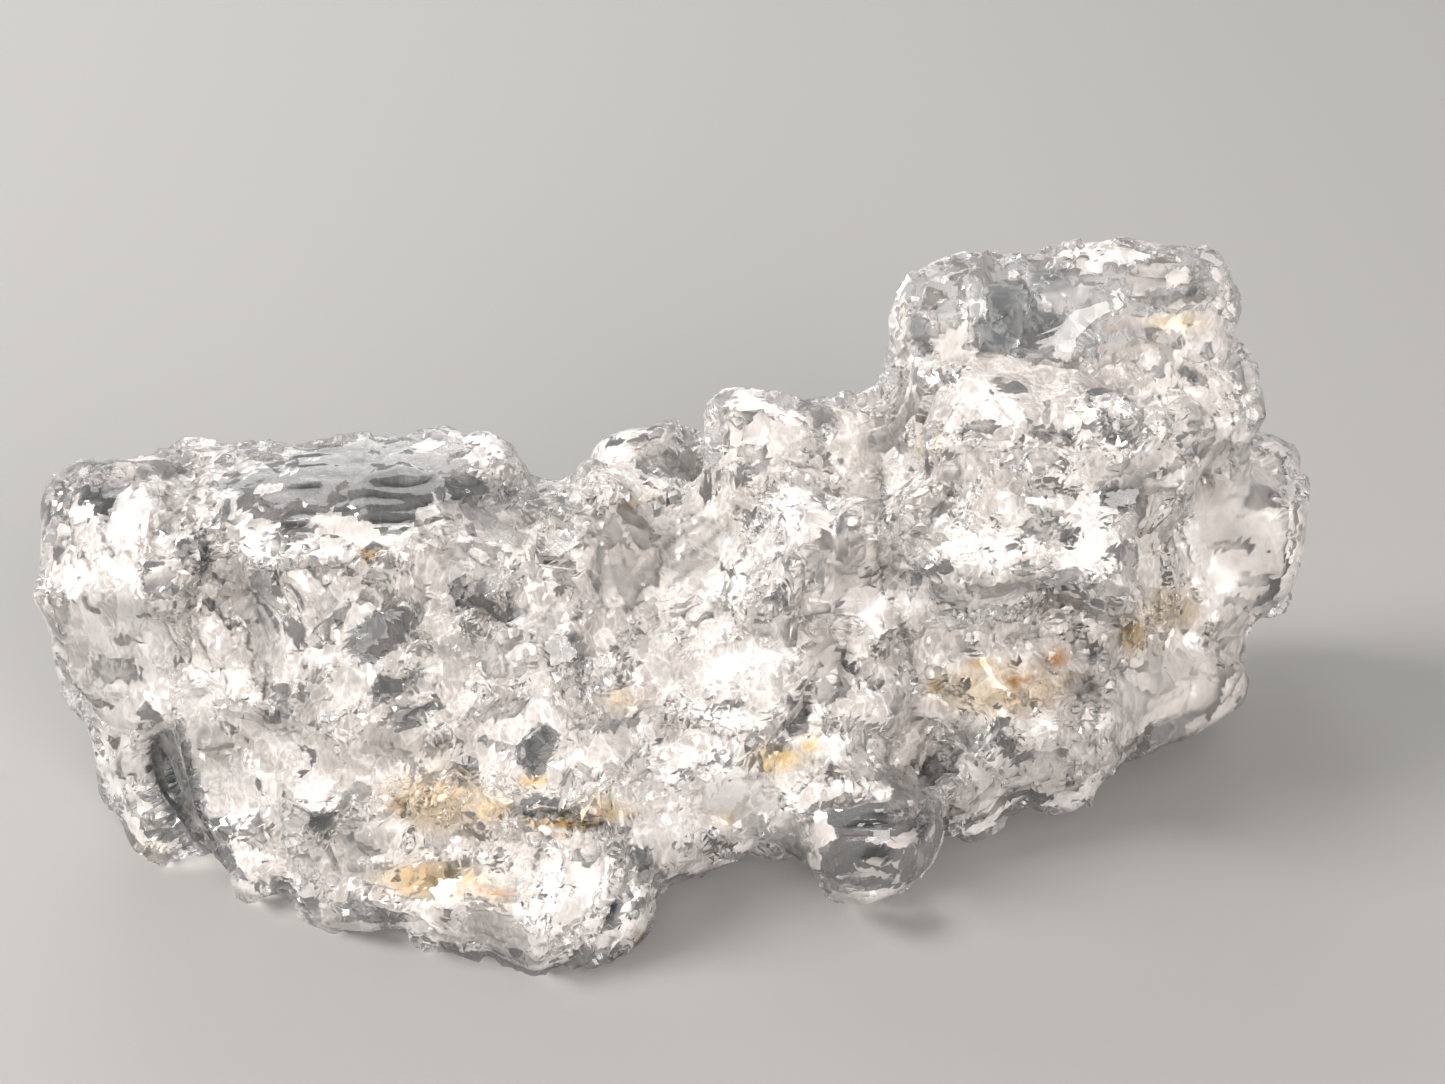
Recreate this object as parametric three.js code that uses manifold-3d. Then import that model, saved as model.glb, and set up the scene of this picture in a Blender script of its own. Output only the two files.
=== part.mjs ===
// A goshenite specimen: colourless beryl, naturally etched, about 49 mm long.
//
// It is one piece. Several stubby crystals of beryl grew into each other side by side, and the
// fluid that later ate into them left ledges, ribs, facets and pits all over, with a few smooth
// faces between. A low left mass with a flat tablet on top, a saddle with a knob and upright
// blades, and a taller right mass with a blocky crystal at its back are the main forms.
//
// Each crystal is a convex form. They are joined, etched and cut flat at the feet as a field,
// whose value is how far a point is outside the specimen and is negative inside it. The surface
// where the field is zero is then made as triangles and thinned out.
//
// Units are millimetres. +X runs along the specimen, +Y to its back and +Z up. The crystals'
// c axes stand nearly upright. The origin is the centre of the bounding box's lowest face,
// which is the plane that the specimen rests on.

import * as THREE from "three";
import { ConvexGeometry } from "three/addons/geometries/ConvexGeometry.js";
import { MeshSurfaceSampler } from "three/addons/math/MeshSurfaceSampler.js";
import { SimplifyModifier } from "three/addons/modifiers/SimplifyModifier.js";
import { mergeVertices } from "three/addons/utils/BufferGeometryUtils.js";
import Module from "manifold-3d";

const wasm = await Module();
wasm.setup();

// ---- driving dimensions -------------------------------------------------------------------

const restPlane = 0; // every foot of the specimen is flat at this height
const crystalAxis = new THREE.Vector3(0.06, -0.16, 1).normalize(); // the c axis that most share
const splinterCount = 60; // upright ribs and spikes left standing on the etched faces
const splinterWidth = [1.0, 2.0];
const splinterLength = [2.2, 4.6];
const splinterSink = 0.22; // how far its middle is under the surface, as a share of its width
const splinterFloor = 2.2; // no splinter starts lower than this
const stepCount = 46; // flat-floored bites that leave ledges
const stepWidth = [2.0, 4.4];
const stepDepth = [0.4, 1.0];
const stepTool = 3; // how thick the tool is that cuts a step, most of it above the surface
const facetTries = 9000; // places that are tried, of which those far enough apart are kept
const facetSpacing = 1.35; // from one etched facet's middle to the next, across the c axis
const facetStretch = 1.6; // how much longer the facets are along the c axis
const facetLean = 0.44; // how far a facet leans from the face under it, as a slope
const facetRise = 0.15; // how far it stands above or below that face
const pitShare = 0.12; // the share of facets that are the floor of a pit
const pitDepth = [0.5, 1.0];
const mostOut = 0.3; // the etched surface stays between these two distances of the face
const mostIn = 0.9;
const coarseCell = 0.8; // the field is sampled on cubes of this size where forms are placed
const fineCell = 0.45; // and of this size for the final surface
const triangleBudget = 9200;
const pinchGap = 0.04; // how far apart two points are set where the surface touches itself

// ---- small tools --------------------------------------------------------------------------

// A repeatable source of numbers from 0 to 1.
function seeded(seed) {
  let state = seed >>> 0;
  return () => {
    state = (state + 0x6d2b79f5) >>> 0;
    let t = Math.imul(state ^ (state >>> 15), 1 | state);
    t = (t + Math.imul(t ^ (t >>> 7), 61 | t)) ^ t;
    return ((t ^ (t >>> 14)) >>> 0) / 4294967296;
  };
}

const between = (random, [low, high]) => low + (high - low) * random();

const looseVector = (random) =>
  new THREE.Vector3(random() - 0.5, random() - 0.5, random() - 0.5);

function placed(points, at, turn) {
  const spin = new THREE.Euler(...turn.map(THREE.MathUtils.degToRad));
  return points.map((p) => p.applyEuler(spin).add(new THREE.Vector3(...at)));
}

// ---- convex forms -------------------------------------------------------------------------

// A convex form is kept as its box and the planes of its faces, four numbers each.
function formOf(points) {
  const hull = new ConvexGeometry(points).getAttribute("position");
  const planes = new Map();
  for (let i = 0; i < hull.count; i += 3) {
    const [a, b, c] = [0, 1, 2].map((k) => new THREE.Vector3().fromBufferAttribute(hull, i + k));
    const plane = new THREE.Plane().setFromCoplanarPoints(a, b, c);
    const numbers = [...plane.normal.toArray(), plane.constant];
    planes.set(numbers.map((n) => n.toFixed(3)).join(), numbers);
  }
  return { box: new THREE.Box3().setFromPoints(points), planes: [...planes.values()].flat() };
}

// How far a point is outside a form, negative inside it. Well outside its box it is just `far`.
const far = 2;
function outside({ box, planes }, x, y, z) {
  const { min, max } = box;
  if (x < min.x - far || y < min.y - far || z < min.z - far) return far;
  if (x > max.x + far || y > max.y + far || z > max.z + far) return far;
  let most = -Infinity;
  for (let i = 0; i < planes.length; i += 4) {
    const reach = planes[i] * x + planes[i + 1] * y + planes[i + 2] * z + planes[i + 3];
    if (reach > most) most = reach;
  }
  return Math.min(most, far);
}

const joined = (forms) => (x, y, z) => {
  let least = far;
  for (const form of forms) least = Math.min(least, outside(form, x, y, z));
  return least;
};

const cut = (field, forms) => {
  const taken = joined(forms);
  return (x, y, z) => Math.max(field(x, y, z), -taken(x, y, z));
};

const added = (field, forms) => {
  const given = joined(forms);
  return (x, y, z) => Math.min(field(x, y, z), given(x, y, z));
};

// A crystal given by its own corners: [x, y, z] each.
const cornered = (corners) => formOf(corners.map((c) => new THREE.Vector3(...c)));

// A blocky crystal: a box whose edges and corners the etching has taken off unevenly.
function blocky({ at, size, turn = [0, 0, 0], worn = 0.22, seed }) {
  const random = seeded(seed);
  const half = size.map((s) => s / 2);
  const points = [];
  for (const sx of [-1, 1])
    for (const sy of [-1, 1])
      for (const sz of [-1, 1])
        for (let axis = 0; axis < 3; axis++) {
          const take = [0, 1, 2].map((i) => (i === axis ? 0.02 : worn * (0.5 + random())));
          points.push(
            new THREE.Vector3(
              sx * half[0] * (1 - take[0]),
              sy * half[1] * (1 - take[1]),
              sz * half[2] * (1 - take[2]),
            ),
          );
        }
  return formOf(placed(points, at, turn));
}

// A rounded lobe with flat facets. box is 2 for an ellipsoid and more for a fuller, squarer one.
function lobe({ at, size, turn = [0, 0, 0], facets = 34, box = 2.4, seed }) {
  const random = seeded(seed);
  const goldenTurn = Math.PI * (3 - Math.sqrt(5));
  const points = [];
  for (let i = 0; i < facets; i++) {
    const up = 1 - (2 * (i + 0.5)) / facets;
    const round = Math.sqrt(1 - up * up);
    const angle = i * goldenTurn + random() * 0.5;
    const ray = [Math.cos(angle) * round, Math.sin(angle) * round, up];
    const reach = ray.reduce((sum, r) => sum + Math.abs(r) ** box, 0) ** (-1 / box);
    const shrink = 1 - 0.09 * random();
    points.push(new THREE.Vector3(...ray.map((r, k) => (r * reach * shrink * size[k]) / 2)));
  }
  return formOf(placed(points, at, turn));
}

// A four-sided chip about `axis`, uneven at all its corners and thinner at its upper end.
function chip({ at, axis, facing, width, depth, length, taper, random }) {
  const across = new THREE.Vector3().crossVectors(axis, facing).normalize();
  const out = new THREE.Vector3().crossVectors(across, axis);
  const points = [];
  for (const end of [-1, 1])
    for (const side of [-1, 1])
      for (const front of [-1, 1]) {
        const scale = (end > 0 ? taper : 1) * (0.8 + 0.4 * random());
        points.push(
          at
            .clone()
            .addScaledVector(axis, end * length * (0.4 + 0.2 * random()))
            .addScaledVector(across, (side * width * scale) / 2)
            .addScaledVector(out, (front * depth * scale) / 2),
        );
      }
  return formOf(points);
}

// ---- main forms ---------------------------------------------------------------------------

const leftMass = [
  // The body: its front leans out towards the foot.
  cornered([
    [-22.6, 1.6, 11.6], [-22.8, 7.2, 11.4], [-22.8, 1.2, 6.4], [-22.4, 7.6, 5.2],
    [-19.6, 2.2, 0], [-18.4, 7.2, 0], [-16.6, -0.8, 8.4], [-14.8, -3.0, 3.0],
    [-14.0, -3.2, 0], [-12.5, 0.8, 13.4], [-12.0, 8.6, 13.0], [-12.0, 9.4, 6.0],
    [-4.0, 1.4, 12.6], [-2.4, 8.0, 12.6], [-1.4, 9.2, 6.0], [-2.0, 7.4, 0],
    [-1.6, -2.6, 7.2], [-1.2, -4.2, 0], [-9.0, -3.6, 5.6],
  ]),
  // The upper left corner, which overhangs the foot.
  blocky({ at: [-20.5, 4.2, 9.0], size: [5.4, 6.8, 7.4], turn: [3, -2, 4], seed: 11 }),
  blocky({ at: [-18.6, 2.4, 10.8], size: [4.4, 5.0, 6.0], turn: [16, 0, -8], seed: 12 }),
  // The cap at the far left, a smooth lobe.
  lobe({ at: [-21.1, 4.4, 13.0], size: [5.2, 5.8, 3.2], turn: [4, -8, 10], facets: 26, seed: 13 }),
  // The ground surface between the cap and the tablet.
  blocky({ at: [-17.6, 5.0, 12.6], size: [5.6, 6.6, 3.0], turn: [-4, 3, 0], seed: 14 }),
  // The knob behind it.
  lobe({ at: [-15.6, 8.2, 12.3], size: [3.4, 3.0, 3.2], facets: 24, seed: 15 }),
  // The frothy rim left of the clear window, down to the foot.
  blocky({ at: [-21.0, 2.6, 3.8], size: [2.2, 5.0, 4.4], turn: [0, 6, 8], seed: 16 }),
  blocky({ at: [-20.4, 2.4, 1.3], size: [2.0, 4.2, 3.0], turn: [0, 0, 14], seed: 17 }),
  // The sill of the clear window, then the bright ridge and bead along the lower left edge.
  blocky({ at: [-18.6, 1.0, 1.1], size: [4.6, 3.6, 2.6], seed: 25 }),
  blocky({ at: [-19.6, -0.7, 0.9], size: [4.6, 1.5, 1.7], turn: [0, 0, -36], worn: 0.3, seed: 18 }),
  lobe({ at: [-16.0, -2.6, 1.3], size: [4.0, 2.6, 2.4], turn: [0, 0, -26], facets: 24, seed: 19 }),
  // Lumps along the front foot.
  lobe({ at: [-12.6, -4.0, 1.3], size: [4.2, 3.2, 2.8], turn: [0, 0, -14], facets: 26, seed: 20 }),
  blocky({ at: [-9.2, -4.7, 1.6], size: [4.0, 3.0, 3.0], turn: [0, 0, 8], seed: 21 }),
  blocky({ at: [-5.4, -5.0, 1.7], size: [4.6, 4.0, 3.4], turn: [0, 4, -14], seed: 22 }),
  cornered([
    [-4.6, -6.6, 0], [-2.4, -7.2, 0], [-1.2, -6.2, 0], [0.4, -3.4, 0], [-4.8, -2.0, 0],
    [-4.4, -5.8, 3.6], [-2.2, -5.6, 4.6], [-0.4, -3.6, 5.0], [-4.6, -2.2, 5.2], [0.2, -1.6, 4.4],
  ]),
  // The stepped shelf above the foot.
  blocky({ at: [-10.6, -2.6, 4.0], size: [7.0, 3.4, 2.4], turn: [10, 2, 2], seed: 23 }),
  blocky({ at: [-4.4, -2.6, 5.6], size: [6.4, 4.0, 3.0], turn: [8, -6, -6], seed: 24 }),
];

// The flat tablet on top of the left mass, with an overhanging front edge.
const tablet = cornered([
  [-17.2, 2.4, 13.5], [-15.9, 0.4, 13.0], [-15.6, 0.9, 14.3], [-16.4, 3.6, 14.5],
  [-10.3, 0.1, 12.7], [-10.2, 0.7, 14.4], [-6.4, 1.4, 13.1], [-5.0, 3.2, 13.2],
  [-5.2, 4.0, 14.5], [-4.9, 6.6, 13.6], [-7.2, 7.8, 14.2], [-10.4, 8.4, 14.2],
  [-14.6, 7.6, 14.1], [-13.6, 8.0, 12.8], [-6.0, 7.6, 12.6], [-9.8, 4.2, 14.8],
]);

const saddle = [
  // The body of the saddle, with its foot set back.
  cornered([
    [-4.0, -1.6, 0], [9.6, -0.6, 0], [10.0, 8.6, 0], [-3.6, 8.4, 0], [-3.6, -2.4, 6.4],
    [8.4, -0.4, 6.6], [-3.2, 2.2, 10.4], [9.4, 2.6, 11.4], [-3.6, 7.6, 11.4],
    [9.0, 8.4, 13.0], [9.6, 10.4, 6.0], [-3.2, 10.6, 6.4],
  ]),
  // The ridge that peaks beside the tablet and runs down to the front.
  cornered([
    [-2.9, 5.6, 14.3], [-5.2, 5.4, 12.6], [-0.6, 6.6, 12.0], [-6.2, 1.2, 9.6],
    [0.8, 3.0, 9.4], [-4.6, -1.6, 7.0], [2.0, -0.6, 6.6], [-2.6, 8.4, 11.0], [-3.4, 2.2, 12.6],
  ]),
  cornered([
    [-2.6, 2.6, 11.4], [-3.9, 1.0, 9.0], [-0.6, 1.4, 9.4], [-4.8, -2.2, 6.2],
    [-0.8, -2.8, 6.0], [-2.6, 0.8, 5.0], [-2.2, 4.2, 9.0],
  ]),
  // The rounded crystals behind the saddle.
  lobe({ at: [-0.8, 10.4, 10.2], size: [5.0, 4.0, 5.2], facets: 30, seed: 31 }),
  lobe({ at: [3.6, 10.6, 9.2], size: [6.0, 4.4, 6.4], facets: 28, seed: 32 }),
  // The clear knob on top.
  cornered([
    [1.1, 6.4, 15.6], [1.5, 7.6, 16.2], [2.9, 7.0, 16.5], [4.6, 7.4, 16.2], [6.2, 7.2, 15.3],
    [7.0, 6.4, 14.4], [6.6, 5.0, 13.6], [4.2, 4.9, 13.9], [2.4, 5.0, 13.2], [1.4, 5.4, 13.6],
    [2.6, 9.6, 14.4], [5.8, 9.4, 13.8], [1.4, 8.6, 12.4], [6.8, 8.8, 12.2], [4.0, 5.2, 11.0],
    [2.0, 6.0, 11.0], [6.6, 6.0, 11.0],
  ]),
  // The upright blades in front of the right mass.
  blocky({ at: [4.7, 3.7, 11.6], size: [2.4, 1.9, 5.0], turn: [10, 4, 12], seed: 34 }),
  blocky({ at: [3.6, 2.0, 8.6], size: [2.8, 2.0, 5.4], turn: [12, 12, -10], seed: 35 }),
  blocky({ at: [7.0, 3.2, 10.6], size: [2.7, 2.2, 7.8], turn: [12, 2, 4], worn: 0.14, seed: 36 }),
  blocky({ at: [7.5, 1.6, 7.6], size: [1.9, 1.9, 4.4], turn: [14, -4, 20], seed: 37 }),
  // The band that runs along the front of the saddle, and the ridge over it.
  blocky({ at: [2.4, -1.4, 3.2], size: [8.6, 3.0, 5.2], turn: [12, -4, 4], seed: 38 }),
  blocky({ at: [3.4, -0.6, 6.0], size: [9.6, 3.2, 3.0], turn: [20, -5, 6], seed: 39 }),
  // The round lobe under the band.
  lobe({ at: [7.3, -2.6, 3.4], size: [6.3, 6.0, 6.4], facets: 46, box: 2.15, seed: 40 }),
];

const rightMass = [
  // The body: the tall front face leans back.
  cornered([
    [8.0, 1.6, 6.4], [9.6, 0.2, 0.6], [8.0, 4.6, 12.6], [8.2, 6.9, 16.6], [9.0, 9.6, 16.8],
    [17.4, 7.2, 16.4], [18.8, 5.6, 12.4], [19.4, 3.6, 6.0], [18.6, 3.6, 1.0], [10.4, 1.4, 0],
    [17.6, 5.0, 0], [19.4, 11.0, 0], [10.6, 11.4, 0], [20.6, 12.4, 6.0], [9.2, 12.4, 7.0],
    [20.4, 12.4, 14.0], [9.4, 12.2, 15.0],
  ]),
  blocky({ at: [12.8, 6.6, 15.6], size: [8.6, 4.6, 3.2], turn: [-10, 2, 2], seed: 51 }),
  blocky({ at: [13.6, 3.6, 10.4], size: [7.4, 3.4, 6.0], turn: [24, 0, -2], seed: 52 }),
  blocky({ at: [18.0, 6.6, 13.2], size: [3.8, 4.4, 6.0], turn: [14, 4, 8], seed: 53 }),
  // The corner that leads down from the block at the back to the saddle.
  blocky({ at: [7.4, 8.4, 13.5], size: [3.6, 3.2, 3.0], turn: [0, -28, 0], seed: 54 }),
  // The clear block at the back, the highest part.
  cornered([
    [8.4, 9.2, 18.6], [8.9, 10.4, 19.5], [10.4, 10.8, 20.1], [14.4, 11.0, 20.2],
    [15.4, 11.2, 20.4], [19.6, 11.0, 20.3], [21.2, 11.0, 19.5], [21.8, 10.8, 17.8],
    [21.9, 10.6, 15.2], [8.5, 9.0, 15.4], [9.7, 8.4, 17.6], [18.2, 8.2, 18.2],
    [20.6, 9.2, 18.6], [20.6, 8.6, 14.6], [9.2, 13.4, 16.8], [10.2, 13.8, 17.4],
    [19.8, 13.8, 17.6], [21.4, 13.4, 16.2], [21.6, 13.2, 13.0], [9.2, 13.0, 13.0],
  ]),
  lobe({ at: [15.0, 10.9, 19.6], size: [2.4, 2.2, 1.5], facets: 20, seed: 55 }),
  // The outer slab, stepped at its top and notched below.
  blocky({ at: [21.9, 10.4, 7.1], size: [6.4, 5.4, 7.0], turn: [2, 0, -6], seed: 56 }),
  blocky({ at: [20.1, 9.8, 12.6], size: [4.8, 5.0, 6.4], turn: [0, 4, -4], seed: 57 }),
  blocky({ at: [23.8, 11.2, 9.2], size: [2.4, 3.0, 2.8], turn: [0, 6, 0], seed: 58 }),
  // The smooth lobe at the lower right.
  lobe({ at: [19.7, 6.2, 2.6], size: [8.2, 5.2, 4.6], turn: [0, 6, 26], facets: 36, seed: 59 }),
  // The neck between the slab and the lobe.
  blocky({ at: [20.4, 8.8, 4.6], size: [4.6, 4.6, 4.4], seed: 63 }),
  // The pitted lump in front.
  blocky({ at: [13.4, 2.4, 3.9], size: [7.4, 5.4, 5.8], turn: [10, 2, 14], seed: 60 }),
  lobe({ at: [11.8, 0.8, 1.6], size: [4.4, 3.4, 3.4], turn: [0, 0, 12], facets: 26, seed: 61 }),
  lobe({ at: [15.4, 2.6, 1.4], size: [4.0, 3.4, 3.2], turn: [0, 0, 30], facets: 26, seed: 62 }),
];

// ---- faces that stayed smooth: nothing is etched inside these balls -------------------------

const smoothPlaces = [
  { at: [-19.2, 0.6, 3.4], reach: 2.6 }, // the window beside the frothy rim
  { at: [-21.6, 3.0, 13.4], reach: 2.6 }, // the cap
  { at: [-10.6, 4.0, 14.6], reach: 3.6 }, // the tablet's top
  { at: [12.6, 8.6, 18.4], reach: 3.8 }, // the clear block's front
  { at: [4.0, 6.4, 15.6], reach: 2.6 }, // the knob
  { at: [7.0, 2.6, 10.6], reach: 2.6 }, // the blades
  { at: [7.3, -4.4, 2.6], reach: 2.8 }, // the round lobe
  { at: [21.6, 6.0, 3.0], reach: 2.6 }, // the lower right lobe
  { at: [-0.4, 3.8, 11.0], reach: 1.8 }, // the slope beside the ridge
];

const isSmooth = (point) =>
  smoothPlaces.some(({ at, reach }) => point.distanceTo(new THREE.Vector3(...at)) < reach);

// ---- the window beside the rim: a flat recess between the rim and the body -------------------

const windowRecess = cornered([
  [-20.5, -2.4, 5.6], [-18.9, -2.4, 6.2], [-20.3, -2.4, 1.9], [-17.6, -2.4, 1.4],
  [-20.3, 1.5, 5.4], [-19.1, 1.5, 5.8], [-20.0, 1.5, 1.9], [-18.0, 1.5, 1.5],
]);

// ---- the surface of a field -----------------------------------------------------------------

// The six tetrahedra of a cube, each a walk along the three axes from its first corner to its
// last. A corner is a number whose bits 1, 2 and 4 are its steps along x, y and z.
const walks = [
  [0, 1, 3, 7], [0, 1, 5, 7], [0, 2, 3, 7], [0, 2, 6, 7], [0, 4, 5, 7], [0, 4, 6, 7],
];

// The triangles of the surface where the field is zero, with their corners on the edges of the
// tetrahedra that fill the space.
function surfaceOf(field, cell) {
  const space = new THREE.Box3();
  for (const { box } of [...leftMass, tablet, ...saddle, ...rightMass]) space.union(box);
  space.expandByScalar(far);
  space.min.z = restPlane - cell / 2; // so that the feet come out flat
  const [nx, ny, nz] = space
    .getSize(new THREE.Vector3())
    .toArray()
    .map((side) => Math.ceil(side / cell) + 1);
  const place = (n) =>
    new THREE.Vector3(n % nx, Math.floor(n / nx) % ny, Math.floor(n / (nx * ny)))
      .multiplyScalar(cell)
      .add(space.min);
  const values = new Float64Array(nx * ny * nz);
  for (let n = 0; n < values.length; n++) {
    const { x, y, z } = place(n);
    values[n] = field(x, y, z);
  }
  const strides = [1, nx, nx * ny];
  const offsets = [0, 1, 2, 3, 4, 5, 6, 7].map((corner) =>
    strides.reduce((sum, stride, bit) => sum + (corner & (1 << bit) ? stride : 0), 0),
  );
  const points = [];
  const indexes = [];
  const made = new Map();
  const crossing = (a, b) => {
    const key = a < b ? a * values.length + b : b * values.length + a;
    if (!made.has(key)) {
      const share = THREE.MathUtils.clamp(values[a] / (values[a] - values[b]), 0.05, 0.95);
      made.set(key, points.push(place(a).lerp(place(b), share)) - 1);
    }
    return made.get(key);
  };
  const addTriangle = (a, b, c, inner, outer) => {
    const normal = new THREE.Vector3()
      .subVectors(points[b], points[a])
      .cross(new THREE.Vector3().subVectors(points[c], points[a]));
    const outwards = place(outer).sub(place(inner));
    indexes.push(a, ...(normal.dot(outwards) > 0 ? [b, c] : [c, b]));
  };
  for (let k = 0; k < nz - 1; k++)
    for (let j = 0; j < ny - 1; j++)
      for (let i = 0; i < nx - 1; i++) {
        const first = i + nx * (j + ny * k);
        for (const walk of walks) {
          const corners = walk.map((corner) => first + offsets[corner]);
          const inner = corners.filter((n) => values[n] < 0);
          const outer = corners.filter((n) => values[n] >= 0);
          if (!inner.length || !outer.length) continue;
          if (inner.length === 2) {
            const [p, q] = outer.map((n) => crossing(inner[0], n));
            const [r, s] = outer.map((n) => crossing(inner[1], n));
            addTriangle(p, q, r, inner[0], outer[0]);
            addTriangle(q, s, r, inner[0], outer[0]);
          } else {
            const [a, b, c] = inner.flatMap((m) => outer.map((n) => crossing(m, n)));
            addTriangle(a, b, c, inner[0], outer[0]);
          }
        }
      }
  return new THREE.BufferGeometry().setFromPoints(points).setIndex(indexes);
}

// ---- etching ------------------------------------------------------------------------------

// Points spread evenly over a surface, each with the direction that its face looks in.
function spreadOver(geometry, count, random) {
  const mesh = new THREE.Mesh(geometry.toNonIndexed());
  mesh.geometry.computeVertexNormals();
  const sampler = new MeshSurfaceSampler(mesh).setRandomGenerator(random).build();
  const found = [];
  while (found.length < count) {
    const point = new THREE.Vector3();
    const normal = new THREE.Vector3();
    sampler.sample(point, normal);
    if (!isSmooth(point)) found.push({ point, normal });
  }
  return found;
}

// The shared axis with some scatter, or on faces that look along it, a direction in the face.
function axisAt(normal, scatter, random) {
  const axis = crystalAxis.clone().addScaledVector(looseVector(random), scatter);
  if (Math.abs(normal.dot(crystalAxis)) > 0.75) axis.set(random() - 0.5, random() - 0.5, 0.1);
  return axis.addScaledVector(normal, -0.8 * axis.dot(normal)).normalize();
}

function splinters(geometry) {
  const random = seeded(71);
  const starts = spreadOver(geometry, splinterCount, random);
  return starts.filter(({ point }) => point.z > splinterFloor).map(({ point, normal }) => {
    const width = between(random, splinterWidth);
    const axis = axisAt(normal, 0.5, random);
    const at = point.addScaledVector(normal, -splinterSink * width);
    const length = between(random, splinterLength);
    return chip({ at, axis, facing: normal, width, depth: width, length, taper: 0.45, random });
  });
}

function steps(geometry) {
  const random = seeded(72);
  return spreadOver(geometry, stepCount, random).map(({ point, normal }) => {
    const width = between(random, stepWidth);
    const axis = axisAt(normal, 0.3, random);
    const at = point.addScaledVector(normal, stepTool / 2 - between(random, stepDepth));
    const length = width * (0.7 + random());
    return chip({ at, axis, facing: normal, width, depth: stepTool, length, taper: 0.8, random });
  });
}

// How far apart two points count as, with lengths along the c axis taken as shorter.
function apartSquared(a, b) {
  const [x, y, z] = [a.x - b.x, a.y - b.y, a.z - b.z];
  const along = x * crystalAxis.x + y * crystalAxis.y + z * crystalAxis.z;
  return x * x + y * y + z * z - (1 - facetStretch ** -2) * along * along;
}

// The etched facets: their middles are spread over the surface, none too near to another.
function facetsOver(geometry) {
  const random = seeded(73);
  const kept = [];
  for (const { point, normal } of spreadOver(geometry, facetTries, random)) {
    if (kept.some((other) => apartSquared(other.point, point) < facetSpacing ** 2)) continue;
    const facing = normal.addScaledVector(looseVector(random), 2 * facetLean).normalize();
    const isPit = random() < pitShare;
    const rise = isPit ? -between(random, pitDepth) : facetRise * (2 * random() - 1);
    kept.push({ point, facing, rise });
  }
  return kept;
}

// Each point near the surface takes its distance from the plane of the facet that it is nearest
// to, held within the two limits of the face that was there before.
const etched = (field, facets) => (x, y, z) => {
  const base = field(x, y, z);
  const point = new THREE.Vector3(x, y, z);
  if (base > mostOut || base < -mostIn || isSmooth(point)) return base;
  let nearest = facets[0];
  let least = Infinity;
  for (const facet of facets) {
    const apart = apartSquared(facet.point, point);
    if (apart < least) [nearest, least] = [facet, apart];
  }
  const height = point.sub(nearest.point).dot(nearest.facing) - nearest.rise;
  return THREE.MathUtils.clamp(height, base - mostOut, base + mostIn);
};

// ---- the specimen -------------------------------------------------------------------------

// The largest body of a surface. The rest are crumbs and pockets that the etching has closed off.
function largestBody(geometry) {
  const merged = mergeVertices(geometry, 1e-3);
  const solid = new wasm.Manifold(
    new wasm.Mesh({
      numProp: 3,
      vertProperties: new Float32Array(merged.getAttribute("position").array),
      triVerts: new Uint32Array(merged.index.array),
    }),
  );
  const bodies = solid.decompose().sort((a, b) => b.volume() - a.volume());
  const { numVert, vertProperties, triVerts } = bodies[0].getMesh();
  const points = [];
  for (let i = 0; i < numVert; i++)
    points.push(new THREE.Vector3(...vertProperties.subarray(3 * i, 3 * i + 3)));
  const body = new THREE.BufferGeometry().setFromPoints(points).setIndex([...triVerts]);
  return partedAtPinches(body, points);
}

// Where the surface touches itself, two points share a place. They are drawn apart a little.
function partedAtPinches(body, points) {
  body.computeVertexNormals();
  const places = points.map((point) => point.toArray().join());
  const firsts = new Map(places.map((place, n) => [place, n]));
  points.forEach((point, n) => {
    if (firsts.get(places[n]) === n) return;
    for (const twin of [n, firsts.get(places[n])]) {
      const normal = new THREE.Vector3().fromBufferAttribute(body.getAttribute("normal"), twin);
      points[twin].addScaledVector(normal, -pinchGap / 2);
    }
  });
  return body.setFromPoints(points);
}

const grown = cut(joined([...leftMass, tablet, ...saddle, ...rightMass]), [windowRecess]);
const stepped = cut(grown, steps(surfaceOf(grown, coarseCell)));
const ribbed = added(stepped, splinters(surfaceOf(stepped, coarseCell)));
const rough = etched(ribbed, facetsOver(surfaceOf(ribbed, coarseCell)));
const standing = (x, y, z) => Math.max(rough(x, y, z), restPlane - z);

const dense = surfaceOf(standing, fineCell);
const spare = 1 - (3 * triangleBudget) / dense.index.count;
const pointCount = dense.getAttribute("position").count;
const thinned = await new SimplifyModifier().modify(dense, Math.round(spare * pointCount));

const shape = largestBody(thinned);
shape.computeBoundingBox();
const { min, max } = shape.boundingBox;
shape.translate(-(min.x + max.x) / 2, -(min.y + max.y) / 2, -min.z);
shape.computeVertexNormals();

const goshenite = new THREE.MeshStandardMaterial({
  color: 0xeeeae4,
  roughness: 0.12,
  metalness: 0,
  transparent: true,
  opacity: 0.45,
  flatShading: true,
});

const crystal = new THREE.Mesh(shape, goshenite);
crystal.name = "goshenite_crystal";

const group = new THREE.Group();
group.name = "goshenite_specimen";
group.add(crystal);

export default group;
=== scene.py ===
# A goshenite specimen: clear, colourless beryl that nature has etched, lying on a pale floor.
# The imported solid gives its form. Here the finer etched surface is made as mesh on that form,
# with healed cracks inside it, then the finish of the beryl and its iron stains, and the light.

import math

import bpy
import numpy as np
from mathutils import Matrix, Vector, noise
from mathutils.bvhtree import BVHTree
from mathutils.kdtree import KDTree


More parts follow.
